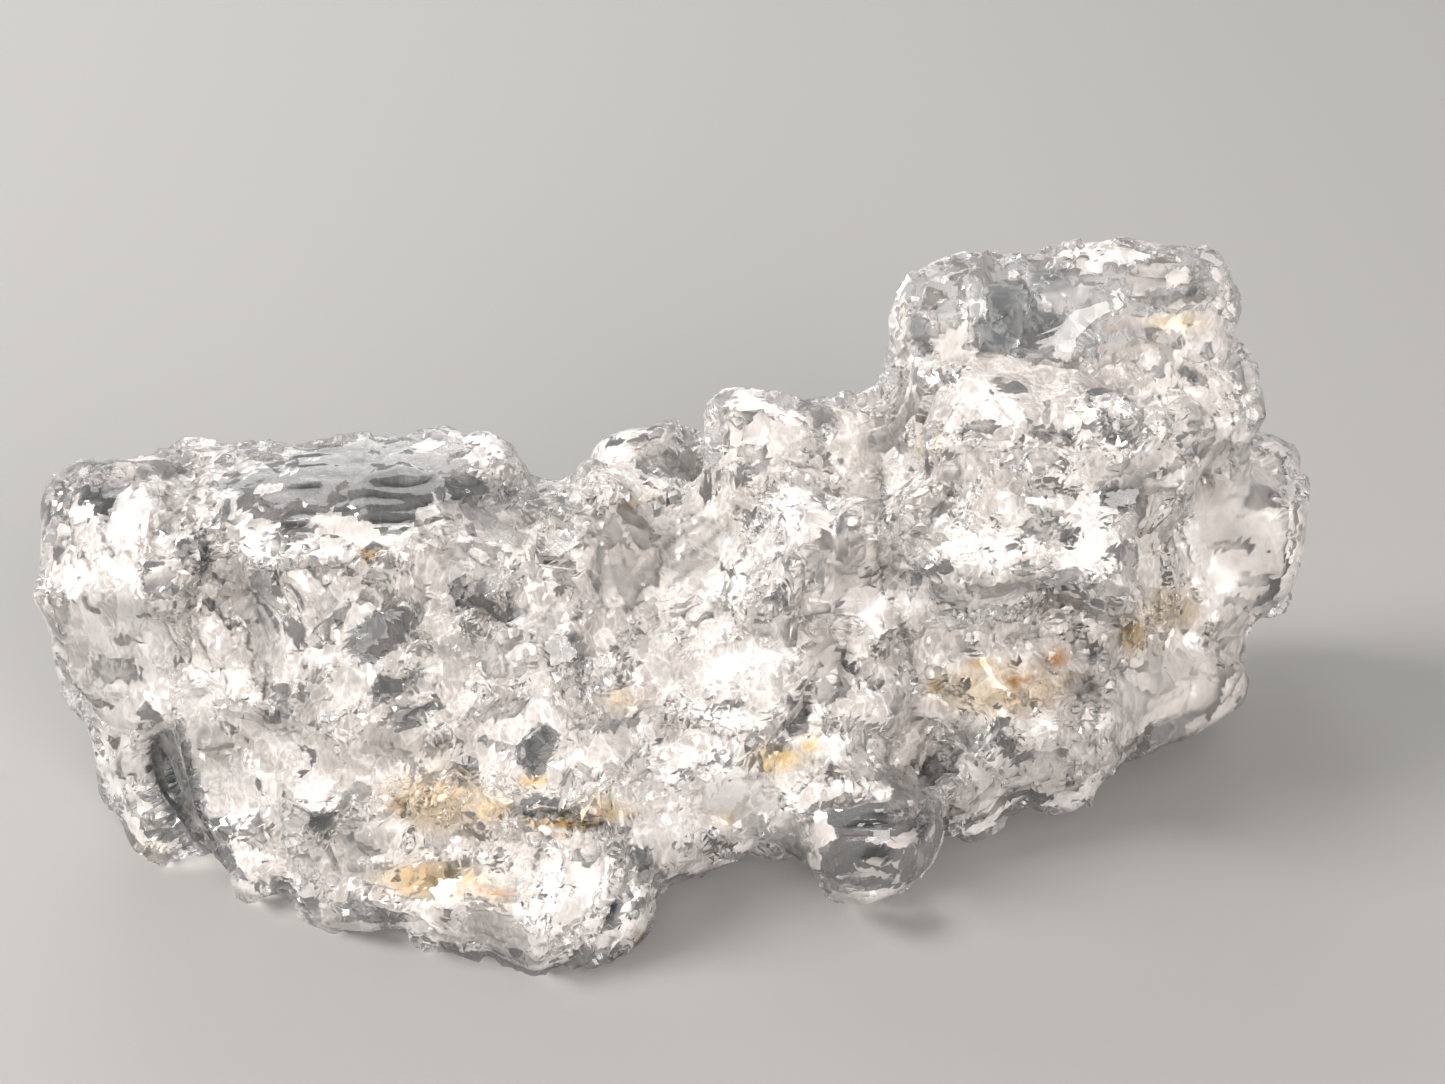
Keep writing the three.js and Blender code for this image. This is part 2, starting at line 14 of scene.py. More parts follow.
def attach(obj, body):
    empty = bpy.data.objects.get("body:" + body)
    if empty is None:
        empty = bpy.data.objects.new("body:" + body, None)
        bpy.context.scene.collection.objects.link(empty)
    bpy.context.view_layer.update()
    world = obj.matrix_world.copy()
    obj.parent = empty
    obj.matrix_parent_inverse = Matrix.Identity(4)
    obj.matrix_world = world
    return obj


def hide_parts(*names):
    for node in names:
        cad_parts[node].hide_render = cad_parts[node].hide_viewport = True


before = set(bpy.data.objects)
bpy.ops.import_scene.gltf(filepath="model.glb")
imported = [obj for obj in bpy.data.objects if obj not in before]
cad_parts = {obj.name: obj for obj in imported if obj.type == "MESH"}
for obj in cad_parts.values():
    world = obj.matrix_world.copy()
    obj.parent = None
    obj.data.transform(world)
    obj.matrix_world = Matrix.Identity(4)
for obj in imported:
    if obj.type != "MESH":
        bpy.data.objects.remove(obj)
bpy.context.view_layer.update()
mm = 0.001


# the camera comes first, because the places on the specimen are found through it
camera = {
    "target": (1.146, 2.674, 10.1),  # mm
    "distance": 107.65,  # mm
    "elevation": 38.0,  # degrees
    "lens": 70.0,  # mm
    "sensor": 36.0,  # mm
    "frame": (1445, 1084),  # pixels
    "pixelsPerMm": 26.1,  # at the target
    "clip": (0.005, 5.0),  # m
}


def cameraAxes(spec):
    rise = math.radians(spec["elevation"])
    ahead = np.array((0.0, math.cos(rise), -math.sin(rise)))
    up = np.array((0.0, math.sin(rise), math.cos(rise)))
    eye = np.array(spec["target"]) - ahead * spec["distance"]
    perPixel = spec["sensor"] / spec["lens"] / spec["frame"][0]
    return eye, np.array((1.0, 0.0, 0.0)), up, ahead, perPixel


def addCamera(spec):
    data = bpy.data.cameras.new("camera")
    data.lens, data.sensor_width = spec["lens"], spec["sensor"]
    data.clip_start, data.clip_end = spec["clip"]
    data.dof.use_dof = False
    obj = bpy.data.objects.new("camera", data)
    bpy.context.scene.collection.objects.link(obj)
    eye, _, _, ahead, _ = cameraAxes(spec)
    obj.location = Vector(eye) * mm
    obj.rotation_euler = Vector(ahead).to_track_quat("-Z", "Y").to_euler()
    bpy.context.scene.camera = obj


def toPixels(points):
    eye, right, up, ahead, perPixel = cameraAxes(camera)
    away = points - eye
    depth = away @ ahead
    width, height = camera["frame"]
    across = width / 2 + (away @ right) / depth / perPixel
    down = height / 2 - (away @ up) / depth / perPixel
    return np.stack([across, down], axis=1)


def rayThrough(pixel):
    eye, right, up, ahead, perPixel = cameraAxes(camera)
    width, height = camera["frame"]
    ray = ahead + right * (pixel[0] - width / 2) * perPixel - up * (pixel[1] - height / 2) * perPixel
    return Vector(eye), Vector(ray).normalized()


addCamera(camera)


# What the specimen shows where. All places are pixels of the camera's frame. An area is its
# middle, how far it reaches to the side and up, and its value, which fades out to its edge.

clearFaces = {  # smooth faces that one looks into, and how dark they are painted, 0 to 1: painted shade for the dark seen through them
    "rimWindow": (0.8, [(147, 735), (178, 726), (192, 760), (198, 795), (210, 826), (222, 858),
        (200, 850), (178, 852), (150, 832), (163, 816), (146, 795), (143, 768)]),
    "capDark": (0.6, [(80, 502), (84, 488), (104, 484), (100, 502)]),
    "capDarkLow": (0.6, [(96, 512), (106, 494), (120, 498), (114, 520), (100, 524)]),
    "capTop": (0.6, [(80, 456), (92, 444), (128, 440), (134, 446), (100, 456)]),
    "tabletBack": (0.6, [(286, 452), (330, 444), (372, 448), (366, 462), (300, 468)]),
    "tabletMiddle": (0.48, [(364, 476), (404, 466), (436, 478), (432, 512), (398, 532), (366, 522)]),
    "tabletSpot": (0.7, [(296, 488), (320, 482), (322, 494), (302, 500)]),
    "tabletSpotLow": (0.5, [(276, 520), (306, 518), (312, 534), (286, 538)]),
    "tabletEnd": (0.55, [(440, 480), (476, 470), (492, 492), (468, 514), (442, 508)]),
    "frontWindow": (0.42, [(356, 628), (388, 606), (420, 612), (408, 640), (372, 662), (350, 650)]),
    "frontMiddle": (0.4, [(368, 690), (380, 674), (408, 676), (404, 694), (380, 700)]),
    "frontLow": (0.42, [(392, 712), (430, 700), (436, 708), (396, 726)]),
    "peakSpot": (0.5, [(494, 508), (498, 484), (524, 488), (506, 506)]),
    "vDark": (0.35, [(456, 602), (486, 584), (522, 612), (500, 626), (470, 616)]),
    "middleDark": (0.35, [(540, 640), (574, 634), (582, 660), (550, 668)]),
    "beltDark": (0.45, [(520, 766), (527, 738), (544, 722), (557, 738), (549, 768), (536, 780)]),
    "seamDark": (0.5, [(516, 806), (544, 802), (580, 808), (566, 818), (524, 816)]),
    "leafDark": (0.42, [(451, 784), (456, 752), (474, 760), (476, 784)]),
    "shelfDark": (0.5, [(303, 828), (308, 814), (340, 810), (334, 826), (318, 836)]),
    "beadDark": (0.55, [(296, 902), (304, 900), (314, 914), (308, 918)]),
    "rimSpot": (0.5, [(344, 904), (352, 900), (362, 908), (354, 914)]),
    "footDark": (0.6, [(612, 866), (616, 844), (632, 846), (622, 866)]),
    "footDarkLow": (0.55, [(634, 884), (640, 862), (658, 864), (654, 884)]),
    "footEnd": (0.55, [(596, 930), (606, 900), (622, 896), (616, 926)]),
    "bandDark": (0.6, [(705, 846), (712, 834), (732, 838), (728, 848)]),
    "lobeUpper": (0.75, [(838, 824), (862, 812), (892, 812), (886, 824), (852, 830)]),
    "lobeDark": (0.9, [(860, 858), (870, 842), (896, 846), (888, 864)]),
    "lobeLeft": (0.8, [(798, 852), (802, 844), (810, 848), (808, 862)]),
    "lobeRight": (0.6, [(904, 834), (926, 800), (932, 826), (918, 850)]),
    "bladeShade": (0.35, [(780, 730), (796, 690), (812, 676), (810, 710), (800, 732)]),
    "blockWindow": (0.75, [(977, 353), (972, 327), (986, 298), (1018, 294), (1048, 307), (1067, 324),
        (1052, 344), (1020, 356)]),
    "blockUpper": (0.75, [(1028, 286), (1034, 271), (1068, 270), (1072, 290), (1048, 295)]),
    "blockEdge": (0.6, [(944, 262), (950, 253), (970, 254), (968, 263)]),
    "blockLeft": (0.65, [(908, 330), (912, 312), (926, 318), (932, 352), (922, 358)]),
    "blockRight": (0.55, [(1184, 298), (1190, 266), (1212, 262), (1204, 296)]),
    "tipInside": (0.5, [(1102, 440), (1100, 408), (1116, 414), (1142, 440), (1130, 452)]),
    "rowTop": (0.6, [(1026, 434), (1034, 428), (1054, 431), (1050, 438)]),
    "rowTopRight": (0.55, [(1056, 441), (1064, 432), (1078, 434), (1070, 444)]),
    "rowRight": (0.6, [(1100, 504), (1104, 488), (1142, 486), (1138, 504), (1116, 512)]),
    "rowMiddle": (0.55, [(1058, 494), (1062, 485), (1076, 489), (1072, 498)]),
    "rowLow": (0.5, [(1060, 544), (1064, 530), (1078, 534), (1076, 546)]),
    "sideDark": (0.7, [(1180, 376), (1184, 364), (1198, 370), (1200, 388)]),
    "grainDark": (0.5, [(990, 744), (996, 734), (1018, 740), (1016, 754)]),
}

paleFaces = {  # smooth faces that stay pale or hazy, and the tone they are painted, partly haze and partly painted light
    "ridgeSlope": (0.3, [(602, 500), (622, 496), (650, 530), (642, 566), (630, 620), (606, 570)]),
    "bladeFace": (0.5, [(812, 500), (842, 488), (872, 500), (868, 560), (852, 630), (820, 640),
        (806, 580)]),
    "bladeLow": (0.52, [(806, 636), (838, 640), (846, 668), (820, 690), (802, 664)]),
    "slabTop": (0.62, [(1168, 440), (1214, 420), (1226, 440), (1190, 470)]),
    "blockPillar": (0.62, [(934, 316), (966, 312), (968, 350), (940, 364)]),
    "blockTop": (0.5, [(1124, 262), (1176, 260), (1176, 296), (1126, 298)]),
    "knobFace": (0.6, [(706, 410), (736, 400), (772, 414), (760, 446), (718, 440)]),
    "lobeFront": (0.5, [(806, 868), (850, 868), (900, 872), (880, 892), (840, 892)]),
    "lobeSide": (0.62, [(934, 790), (944, 800), (944, 840), (932, 862)]),
    "bulb": (0.7, [(956, 812), (1000, 806), (1008, 832), (968, 846)]),
    "bulbRight": (0.66, [(1040, 780), (1082, 772), (1094, 794), (1052, 812)]),
    "tooth": (0.85, [(96, 700), (140, 696), (172, 706), (150, 728), (110, 726)]),
    "uprightCrystal": (0.55, [(553, 742), (572, 752), (596, 770), (590, 794), (560, 790)]),
    "footFace": (0.85, [(568, 848), (598, 842), (605, 870), (588, 908), (574, 884)]),
    "footEdge": (0.6, [(664, 872), (684, 858), (702, 862), (694, 888), (668, 900)]),
    # a painted glint
    "sparkFace": (1.0, [(510, 670), (536, 666), (532, 684), (518, 690)]),
    "arcFace": (0.6, [(278, 604), (290, 572), (312, 568), (320, 590), (300, 612)]),
}

# Partly the beryl's own milkiness and partly painted light and shade: lit faces and rims lighter, tops,
# recesses and clear parts darker.
toneAndShadeAreas = {  # how light the surface is painted there, against marking["tone"] for the rest
    "grainyBand": ((185, 510), (48, 90), 0.3),
    "leftFace": ((112, 630), (70, 90), 0.88),
    "cap": ((85, 490), (55, 45), 0.36),
    "tablet": ((350, 490), (150, 50), 0.34),
    "tabletRim": ((300, 552), (95, 12), 1.0),
    "lowerLeftRim": ((112, 790), (36, 60), 1.0),
    "whiteEdge": ((165, 862), (62, 22), 0.95),
    "bead": ((262, 878), (44, 30), 1.0),
    "uprightLines": ((262, 640), (50, 80), 0.65),
    "leftFront": ((270, 760), (90, 60), 0.7),
    "middleFront": ((470, 650), (120, 80), 0.45),
    "peak": ((560, 520), (60, 60), 0.34),
    "ridge": ((616, 560), (50, 80), 0.3),
    "valley": ((690, 545), (60, 56), 0.24),
    "backKnob": ((650, 455), (50, 40), 0.45),
    "patchUpper": ((800, 512), (26, 44), 1.0),
    "patchLower": ((866, 616), (26, 32), 1.0),
    "bladeLeft": ((762, 570), (36, 64), 0.8),
    "crest": ((740, 690), (90, 60), 0.75),
    "frothBand": ((720, 800), (130, 60), 1.0),
    "shelf": ((470, 800), (110, 50), 0.74),
    "foot": ((580, 890), (90, 60), 0.95),
    "bottomEdge": ((420, 920), (130, 30), 0.65),
    "roundLobe": ((870, 800), (76, 60), 0.4),
    "whiteMass": ((970, 530), (110, 70), 0.7),
    "whiteMassRight": ((1090, 540), (80, 60), 0.68),
    "upperRight": ((1010, 400), (120, 40), 0.55),
    "backBlock": ((1000, 310), (120, 70), 0.22),
    "pittedBlock": ((1180, 360), (70, 60), 0.75),
    "slabHaze": ((1226, 530), (86, 110), 0.8),
    "grainyLump": ((1000, 730), (100, 90), 0.72),
    "lowerLobeArea": ((1180, 690), (90, 60), 0.56),
    "leftPatch": ((200, 690), (60, 60), 0.9),
    "rightBand": ((960, 600), (80, 30), 0.8),
}

seeThrough = {  # how many veils lie there, against 1 for the rest
    "block": ((1040, 304), (160, 60), 0.1),
    "blockRight": ((1180, 280), (50, 36), 0.4),
    "tablet": ((400, 494), (100, 44), 0.45),
    "tabletLeft": ((270, 490), (60, 40), 0.6),
    "cap": ((90, 490), (44, 40), 0.55),
    "valley": ((690, 550), (50, 60), 2.6),
    "ridge": ((616, 560), (50, 80), 2.2),
    "backKnob": ((645, 456), (50, 40), 1.6),
    "bladeWall": ((836, 590), (50, 110), 2.2),
    "crest": ((740, 690), (110, 60), 1.4),
    "slab": ((1236, 530), (70, 100), 2.0),
    "froth": ((720, 800), (120, 50), 1.3),
    "leftFace": ((112, 640), (60, 70), 1.1),
    "roundLobe": ((872, 850), (74, 54), 0.3),
    "rimWindow": ((168, 790), (36, 70), 0.2),
    "footSide": ((626, 880), (30, 44), 0.5),
    "lowerLobe": ((1180, 690), (84, 56), 2.0),
}

hazeAreas = {  # how milky the surface is there, so that it blurs what lies below
    "valley": ((690, 545), (60, 56), 0.9),
    "ridge": ((616, 560), (46, 74), 0.9),
    "bladeWall": ((836, 590), (46, 104), 1.0),
    "slab": ((1236, 530), (64, 100), 1.0),
    "lowerLobe": ((1180, 690), (84, 54), 0.8),
    "pittedBlock": ((1190, 350), (56, 60), 0.6),
}

etchAreas = {  # how deeply the surface is etched there, against 1 for the rest
    "block": ((1030, 310), (170, 70), 0.14),
    "blockRightTop": ((1160, 280), (80, 40), 0.3),
    "blockPitted": ((1190, 370), (60, 50), 0.8),
    "slabSide": ((1236, 540), (70, 120), 0.05),
    "slabTopSide": ((1200, 440), (60, 40), 0.35),
    "lowerLobeSide": ((1180, 695), (95, 62), 0.14),
    "roundLobeSide": ((872, 846), (80, 64), 0.06),
    "tabletTop": ((360, 486), (160, 62), 0.3),
    "tabletFront": ((300, 540), (110, 26), 0.35),
    "capSide": ((84, 490), (62, 60), 0.35),
    "leftFaceSide": ((110, 620), (70, 90), 0.7),
    "ridgeSide": ((622, 560), (46, 76), 0.35),
    "knobSide": ((740, 430), (66, 44), 0.35),
    "backKnobSide": ((648, 456), (56, 44), 0.45),
    "bladeSide": ((830, 570), (56, 110), 0.25),
    "bladeLowSide": ((824, 670), (36, 60), 0.35),
    "leftRim": ((112, 790), (60, 90), 0.6),
    "bottomRim": ((330, 912), (130, 36), 0.45),
    "footSide": ((590, 900), (70, 60), 0.5),
    "lumpSide": ((1010, 780), (110, 50), 0.45),
    "bowlSide": ((424, 880), (70, 30), 0.4),
}

crests = {  # sharp raised lines: height and half width in mm, then the line; painted lighter too, a painted highlight
    "tabletRim": (0.35, 0.5, [(206, 520), (214, 545), (240, 553), (280, 560), (330, 553), (366, 556),
        (400, 548)]),
    "tabletLeft": (0.25, 0.5, [(206, 520), (202, 500), (212, 470), (234, 452)]),
    "peakRidge": (0.5, 0.8, [(590, 462), (604, 500), (622, 530), (640, 560)]),
    "peakLeft": (0.3, 0.7, [(590, 462), (560, 490), (540, 520), (520, 560)]),
    "valleyEdge": (0.35, 0.6, [(752, 500), (742, 540), (726, 580), (700, 610), (664, 640)]),
    "bladeEdge": (0.5, 0.5, [(783, 500), (768, 530), (752, 560), (742, 590), (756, 612), (777, 623)]),
    "bladeRight": (0.4, 0.45, [(783, 500), (796, 540), (796, 585), (777, 623)]),
    "pillarEdge": (0.35, 0.4, [(874, 500), (866, 560), (846, 600)]),
    "crestUpper": (0.45, 0.7, [(640, 757), (644, 715), (676, 690), (720, 680), (770, 668), (806, 656)]),
    "crestMiddle": (0.4, 0.6, [(664, 707), (700, 716), (740, 724), (780, 716)]),
    "leftLump": (0.35, 0.5, [(88, 716), (110, 728), (148, 730), (176, 714)]),
    "bowlRim": (0.3, 0.45, [(352, 862), (400, 856), (450, 850), (484, 862)]),
    "bowlLow": (0.3, 0.4, [(366, 894), (410, 906), (460, 900), (512, 896)]),
    "footRidge": (0.5, 0.5, [(612, 840), (606, 880), (590, 920), (560, 956)]),
    "footLeft": (0.4, 0.5, [(556, 838), (560, 870), (548, 906), (540, 930)]),
    "blockCorner": (0.3, 0.45, [(970, 288), (966, 330), (972, 362)]),
    "tipEdge": (0.35, 0.45, [(1098, 404), (1124, 410), (1156, 416), (1160, 436), (1140, 456)]),
    "rowOne": (0.3, 0.5, [(900, 440), (950, 446), (1000, 444), (1060, 450), (1110, 462)]),
    "rowTwo": (0.3, 0.5, [(896, 496), (926, 500)]),
    "rowThree": (0.3, 0.5, [(1030, 500), (1060, 506), (1100, 520)]),
    "rowFour": (0.28, 0.45, [(930, 620), (980, 612), (1040, 616), (1080, 630)]),
    "slabEdge": (0.3, 0.5, [(1192, 460), (1186, 520), (1196, 580), (1210, 612)]),
    "lobeSeam": (0.3, 0.5, [(1096, 650), (1104, 700), (1100, 748)]),
}

rims = {  # outer edges that catch the light, painted lighter as a painted highlight
    "bottomLeft": [(88, 742), (98, 800), (116, 832), (156, 856), (206, 872), (236, 902), (300, 926),
        (340, 934)],
    "bottomMiddle": [(340, 934), (400, 934), (450, 944), (500, 952), (552, 964), (600, 960), (624, 930),
        (652, 900)],
    "bottomBend": [(652, 900), (700, 862), (740, 846), (776, 848)],
    "lobeBottom": [(802, 866), (828, 888), (866, 896), (910, 880), (938, 848)],
    "lumpBottom": [(952, 838), (984, 842), (1036, 816), (1088, 796), (1130, 766), (1184, 734),
        (1234, 696), (1246, 660)],
    "slabRight": [(1290, 462), (1292, 560), (1272, 604)],
    "slabTop": [(1204, 424), (1246, 434), (1284, 456)],
    "blockTopEdge": [(904, 268), (932, 252), (980, 256), (1040, 252), (1100, 256), (1176, 254),
        (1212, 268)],
    "blockLeftEdge": [(904, 268), (900, 300), (902, 345)],
    "blockRightEdge": [(1212, 268), (1228, 310), (1240, 350), (1250, 400)],
    "knobTop": [(692, 408), (716, 398), (760, 404), (790, 420)],
    "backKnobTop": [(606, 470), (630, 440), (664, 424), (690, 430)],
    "tabletTopEdge": [(190, 444), (240, 434), (330, 428), (430, 430), (486, 446), (516, 470)],
    "capTopEdge": [(48, 482), (70, 456), (110, 444), (160, 436)],
    "leftEdge": [(44, 500), (42, 560), (52, 620), (60, 690)],
    "windowEdge": [(140, 742), (142, 770), (150, 800), (166, 828), (196, 850)],
    "rimInner": [(104, 728), (112, 770), (126, 806), (150, 840), (180, 862)],
    "rimInnerLeft": [(92, 756), (100, 800), (116, 826), (140, 850)],
    "rimInnerRight": [(128, 734), (130, 780), (144, 812)],
    "bottomInner": [(214, 862), (250, 890), (300, 914), (350, 922), (420, 924), (500, 938), (560, 950)],
    "footInner": [(596, 944), (620, 912), (640, 890)],
    "lumpInner": [(966, 828), (1020, 812), (1080, 788), (1120, 762)],
}

grooves = {  # lines cut in: depth and half width in mm, then the line; painted darker too, a painted shade
    "underTablet": (0.5, 0.5, [(208, 560), (250, 570), (300, 572), (350, 568)]),
    "bandSeam": (0.4, 0.5, [(206, 540), (196, 600), (186, 660), (180, 720)]),
    "crevice": (0.6, 0.35, [(700, 786), (727, 764), (760, 748), (790, 722), (812, 712)]),
    "seam": (0.5, 0.35, [(590, 826), (540, 822), (500, 806)]),
    "underShelf": (0.4, 0.4, [(560, 824), (600, 826), (640, 820), (690, 800)]),
    "besideBlade": (0.3, 0.35, [(878, 480), (876, 540), (884, 590)]),
    "besideLobe": (0.5, 0.5, [(950, 740), (952, 780), (948, 840)]),
    "massSeam": (0.25, 0.4, [(880, 470), (892, 540), (900, 620), (920, 690)]),
    "bladeSeam": (0.4, 0.3, [(846, 640), (838, 690), (830, 730)]),
    "footLine": (0.4, 0.3, [(508, 900), (530, 880), (540, 850)]),
    "footCut": (0.5, 0.3, [(612, 920), (618, 890), (634, 866)]),
}

lineFields = {  # fine parallel lines: spacing and depth in mm, direction in degrees, bend, area
    "frontLines": (0.56, 0.3, 108, 0.12, [(212, 566), (282, 572), (288, 640), (280, 704), (206, 700),
        (196, 630)]),
    "leftLines": (0.6, 0.17, 96, 0.1, [(58, 556), (134, 546), (160, 620), (150, 680), (66, 680)]),
    "tabletStreaks": (0.46, 0.05, 6, 0.01, [(214, 470), (360, 440), (470, 440), (500, 480), (420, 536),
        (230, 536)]),
    "seamLines": (0.36, 0.1, 4, 0.01, [(500, 796), (600, 804), (636, 822), (560, 830), (506, 820)]),
    "footLines": (0.42, 0.22, 75, 0.05, [(500, 850), (556, 844), (560, 920), (520, 920)]),
    "massLines": (0.42, 0.14, 6, 0.0, [(980, 596), (1076, 600), (1080, 650), (984, 650)]),
    "grainLines": (0.36, 0.12, 2, 0.0, [(1026, 720), (1076, 722), (1074, 752), (1030, 752)]),
    "lobeLines": (0.46, 0.12, 14, 0.06, [(826, 800), (920, 796), (930, 836), (840, 846)]),
    "arcLines": (0.52, 0.26, 130, 0.2, [(276, 566), (328, 562), (330, 600), (300, 616), (276, 612)]),
    "valleyHatch": (0.4, 0.06, 40, 0.0, [(650, 520), (740, 490), (730, 560), (690, 610), (650, 600)]),
    "ridgeHatch": (0.46, 0.07, 62, 0.02, [(520, 560), (600, 540), (620, 620), (560, 650), (520, 620)]),
}

pits = {  # round etch pits: the middle and the radius in pixels
    "lump": [(953, 750, 6), (950, 770, 6), (980, 763, 5), (1000, 780, 6), (977, 790, 5), (1027, 770, 6),
        (1067, 783, 6), (1093, 743, 6), (1080, 697, 6), (1093, 653, 7), (1073, 630, 6), (936, 730, 5),
        (1012, 712, 5), (1044, 706, 5), (966, 716, 5), (1100, 710, 6), (1050, 690, 4), (1006, 700, 4),
        (962, 694, 4), (1078, 724, 5), (1024, 748, 5)],
    "mass": [(921, 581, 7), (990, 623, 7), (946, 497, 5), (1000, 513, 5), (1045, 515, 5), (928, 530, 6),
        (952, 528, 4), (1073, 540, 5), (912, 470, 5), (980, 470, 4), (1020, 540, 4), (960, 580, 4),
        (1040, 590, 5), (1010, 464, 4)],
    "block": [(1133, 360, 5), (1180, 370, 7), (1193, 383, 6), (1213, 363, 5), (1190, 340, 4),
        (1160, 396, 4), (1222, 400, 4)],
    "ridge": [(664, 716, 5), (636, 752, 5), (650, 770, 4), (690, 722, 4), (720, 734, 5), (750, 730, 4),
        (600, 650, 4), (580, 700, 5)],
    "froth": [(700, 836, 4), (740, 830, 4), (660, 812, 4), (780, 800, 5), (820, 780, 4), (770, 770, 4),
        (690, 780, 4)],
    "left": [(110, 760, 4), (120, 800, 4), (130, 780, 5), (240, 750, 4), (300, 760, 4), (340, 780, 4),
        (260, 800, 4)],
}

points = {  # small upright crystals left standing: foot pixel, width and height in mm
    "shelf": [(452, 800, 1.2, 1.8), (388, 800, 1.1, 1.6), (403, 790, 0.9, 1.5), (427, 806, 0.9, 1.4),
        (462, 792, 1.1, 1.8), (493, 790, 1.0, 1.7), (380, 812, 0.8, 1.1), (446, 826, 0.9, 1.3),
        (480, 828, 0.8, 1.2), (512, 800, 0.8, 1.2), (572, 792, 1.3, 2.2), (602, 786, 0.8, 1.1),
        (354, 806, 0.8, 1.1), (410, 846, 0.8, 1.0), (506, 832, 0.9, 1.2), (530, 842, 0.8, 1.1),
        (626, 790, 0.7, 1.0)],
    "front": [(506, 604, 1.6, 2.6), (556, 560, 1.4, 2.4), (470, 640, 1.3, 2.0), (600, 680, 1.3, 2.0),
        (332, 730, 0.9, 1.1), (300, 700, 0.8, 1.1), (440, 740, 0.9, 1.2), (520, 700, 1.0, 1.2),
        (480, 700, 0.8, 1.0), (560, 690, 0.9, 1.2), (600, 720, 0.9, 1.2), (420, 660, 0.9, 1.2),
        (450, 600, 0.8, 1.1), (330, 680, 0.8, 1.1)],
    "peak": [(586, 490, 0.8, 1.1), (560, 520, 0.8, 1.0), (540, 560, 0.9, 1.1), (570, 600, 0.9, 1.1),
        (530, 580, 0.7, 0.9)],
    "blades": [(780, 606, 2.0, 4.6), (752, 612, 1.2, 2.6), (814, 640, 1.6, 3.2), (766, 610, 1.0, 1.6),
        (730, 640, 0.8, 1.2), (716, 600, 0.7, 1.0), (860, 636, 0.9, 1.3)],
    "mass": [(906, 440, 0.8, 1.1), (940, 470, 0.8, 1.2), (980, 500, 0.8, 1.1), (1120, 448, 1.1, 1.7),
        (1020, 470, 0.8, 1.0), (1060, 470, 0.8, 1.0), (930, 560, 0.8, 1.1), (990, 570, 0.8, 1.0),
        (1050, 560, 0.8, 1.1), (1090, 590, 0.8, 1.1)],
    "foot": [(600, 900, 0.9, 1.3), (570, 900, 0.9, 1.3), (540, 890, 0.8, 1.1), (632, 920, 0.8, 1.0),
        (590, 940, 0.8, 1.0)],
}

stains = {  # iron oxide: middle, reaches in pixels, strength 0 to 1, brown 0 to 1
    "lumpBright": ((1050, 660), (15, 9), 1.0, 0.95),
    "lumpMiddle": ((1017, 682), (16, 8), 1.0, 0.85),
    "lumpRight": ((1064, 684), (8, 5), 0.8, 0.7),
    "lumpUpper": ((980, 663), (16, 5), 0.7, 0.6),
    "lumpLeft": ((936, 687), (11, 9), 0.8, 0.55),
    "lumpHaze": ((1000, 690), (70, 30), 0.4, 0.3),
    "sideYellow": ((1133, 634), (14, 18), 0.6, 0.3),
    "slabYellow": ((1170, 610), (36, 26), 0.3, 0.2),
    "frothYellow": ((778, 758), (28, 13), 0.75, 0.3),
    "frothYellowEnd": ((812, 746), (10, 8), 0.7, 0.3),
    "frothSpot": ((725, 816), (11, 6), 0.85, 0.5),
    "seamYellow": ((600, 812), (40, 9), 0.6, 0.45),
    "seamOrange": ((560, 824), (50, 5), 0.8, 0.6),
    "fringe": ((534, 782), (20, 7), 0.85, 0.55),
    "spikesWarm": ((440, 800), (60, 34), 0.42, 0.35),
    "spikesBright": ((400, 806), (16, 10), 0.55, 0.4),
    "spikesRight": ((490, 812), (22, 16), 0.5, 0.4),
    "bowl": ((430, 880), (60, 22), 0.6, 0.4),
    "bowlEdge": ((492, 896), (22, 5), 0.95, 0.95),
    "footEdge": ((640, 938), (7, 12), 0.85, 0.8),
    "tabletSpot": ((372, 552), (16, 5), 0.85, 0.6),
    "tabletDrop": ((367, 557), (5, 5), 1.0, 0.45),
    "whiteEdgeWarm": ((150, 848), (40, 10), 0.25, 0.3),
    "rimWarm": ((156, 822), (16, 8), 0.3, 0.3),
    "blockGold": ((1176, 322), (30, 10), 0.45, 0.35),
    "blockGoldLeft": ((1114, 331), (5, 5), 0.6, 0.4),
    "middleWarm": ((620, 700), (24, 14), 0.3, 0.3),
    "peakWarm": ((628, 506), (18, 5), 0.35, 0.4),
    "massLine": ((938, 440), (4, 10), 0.6, 0.5),
}


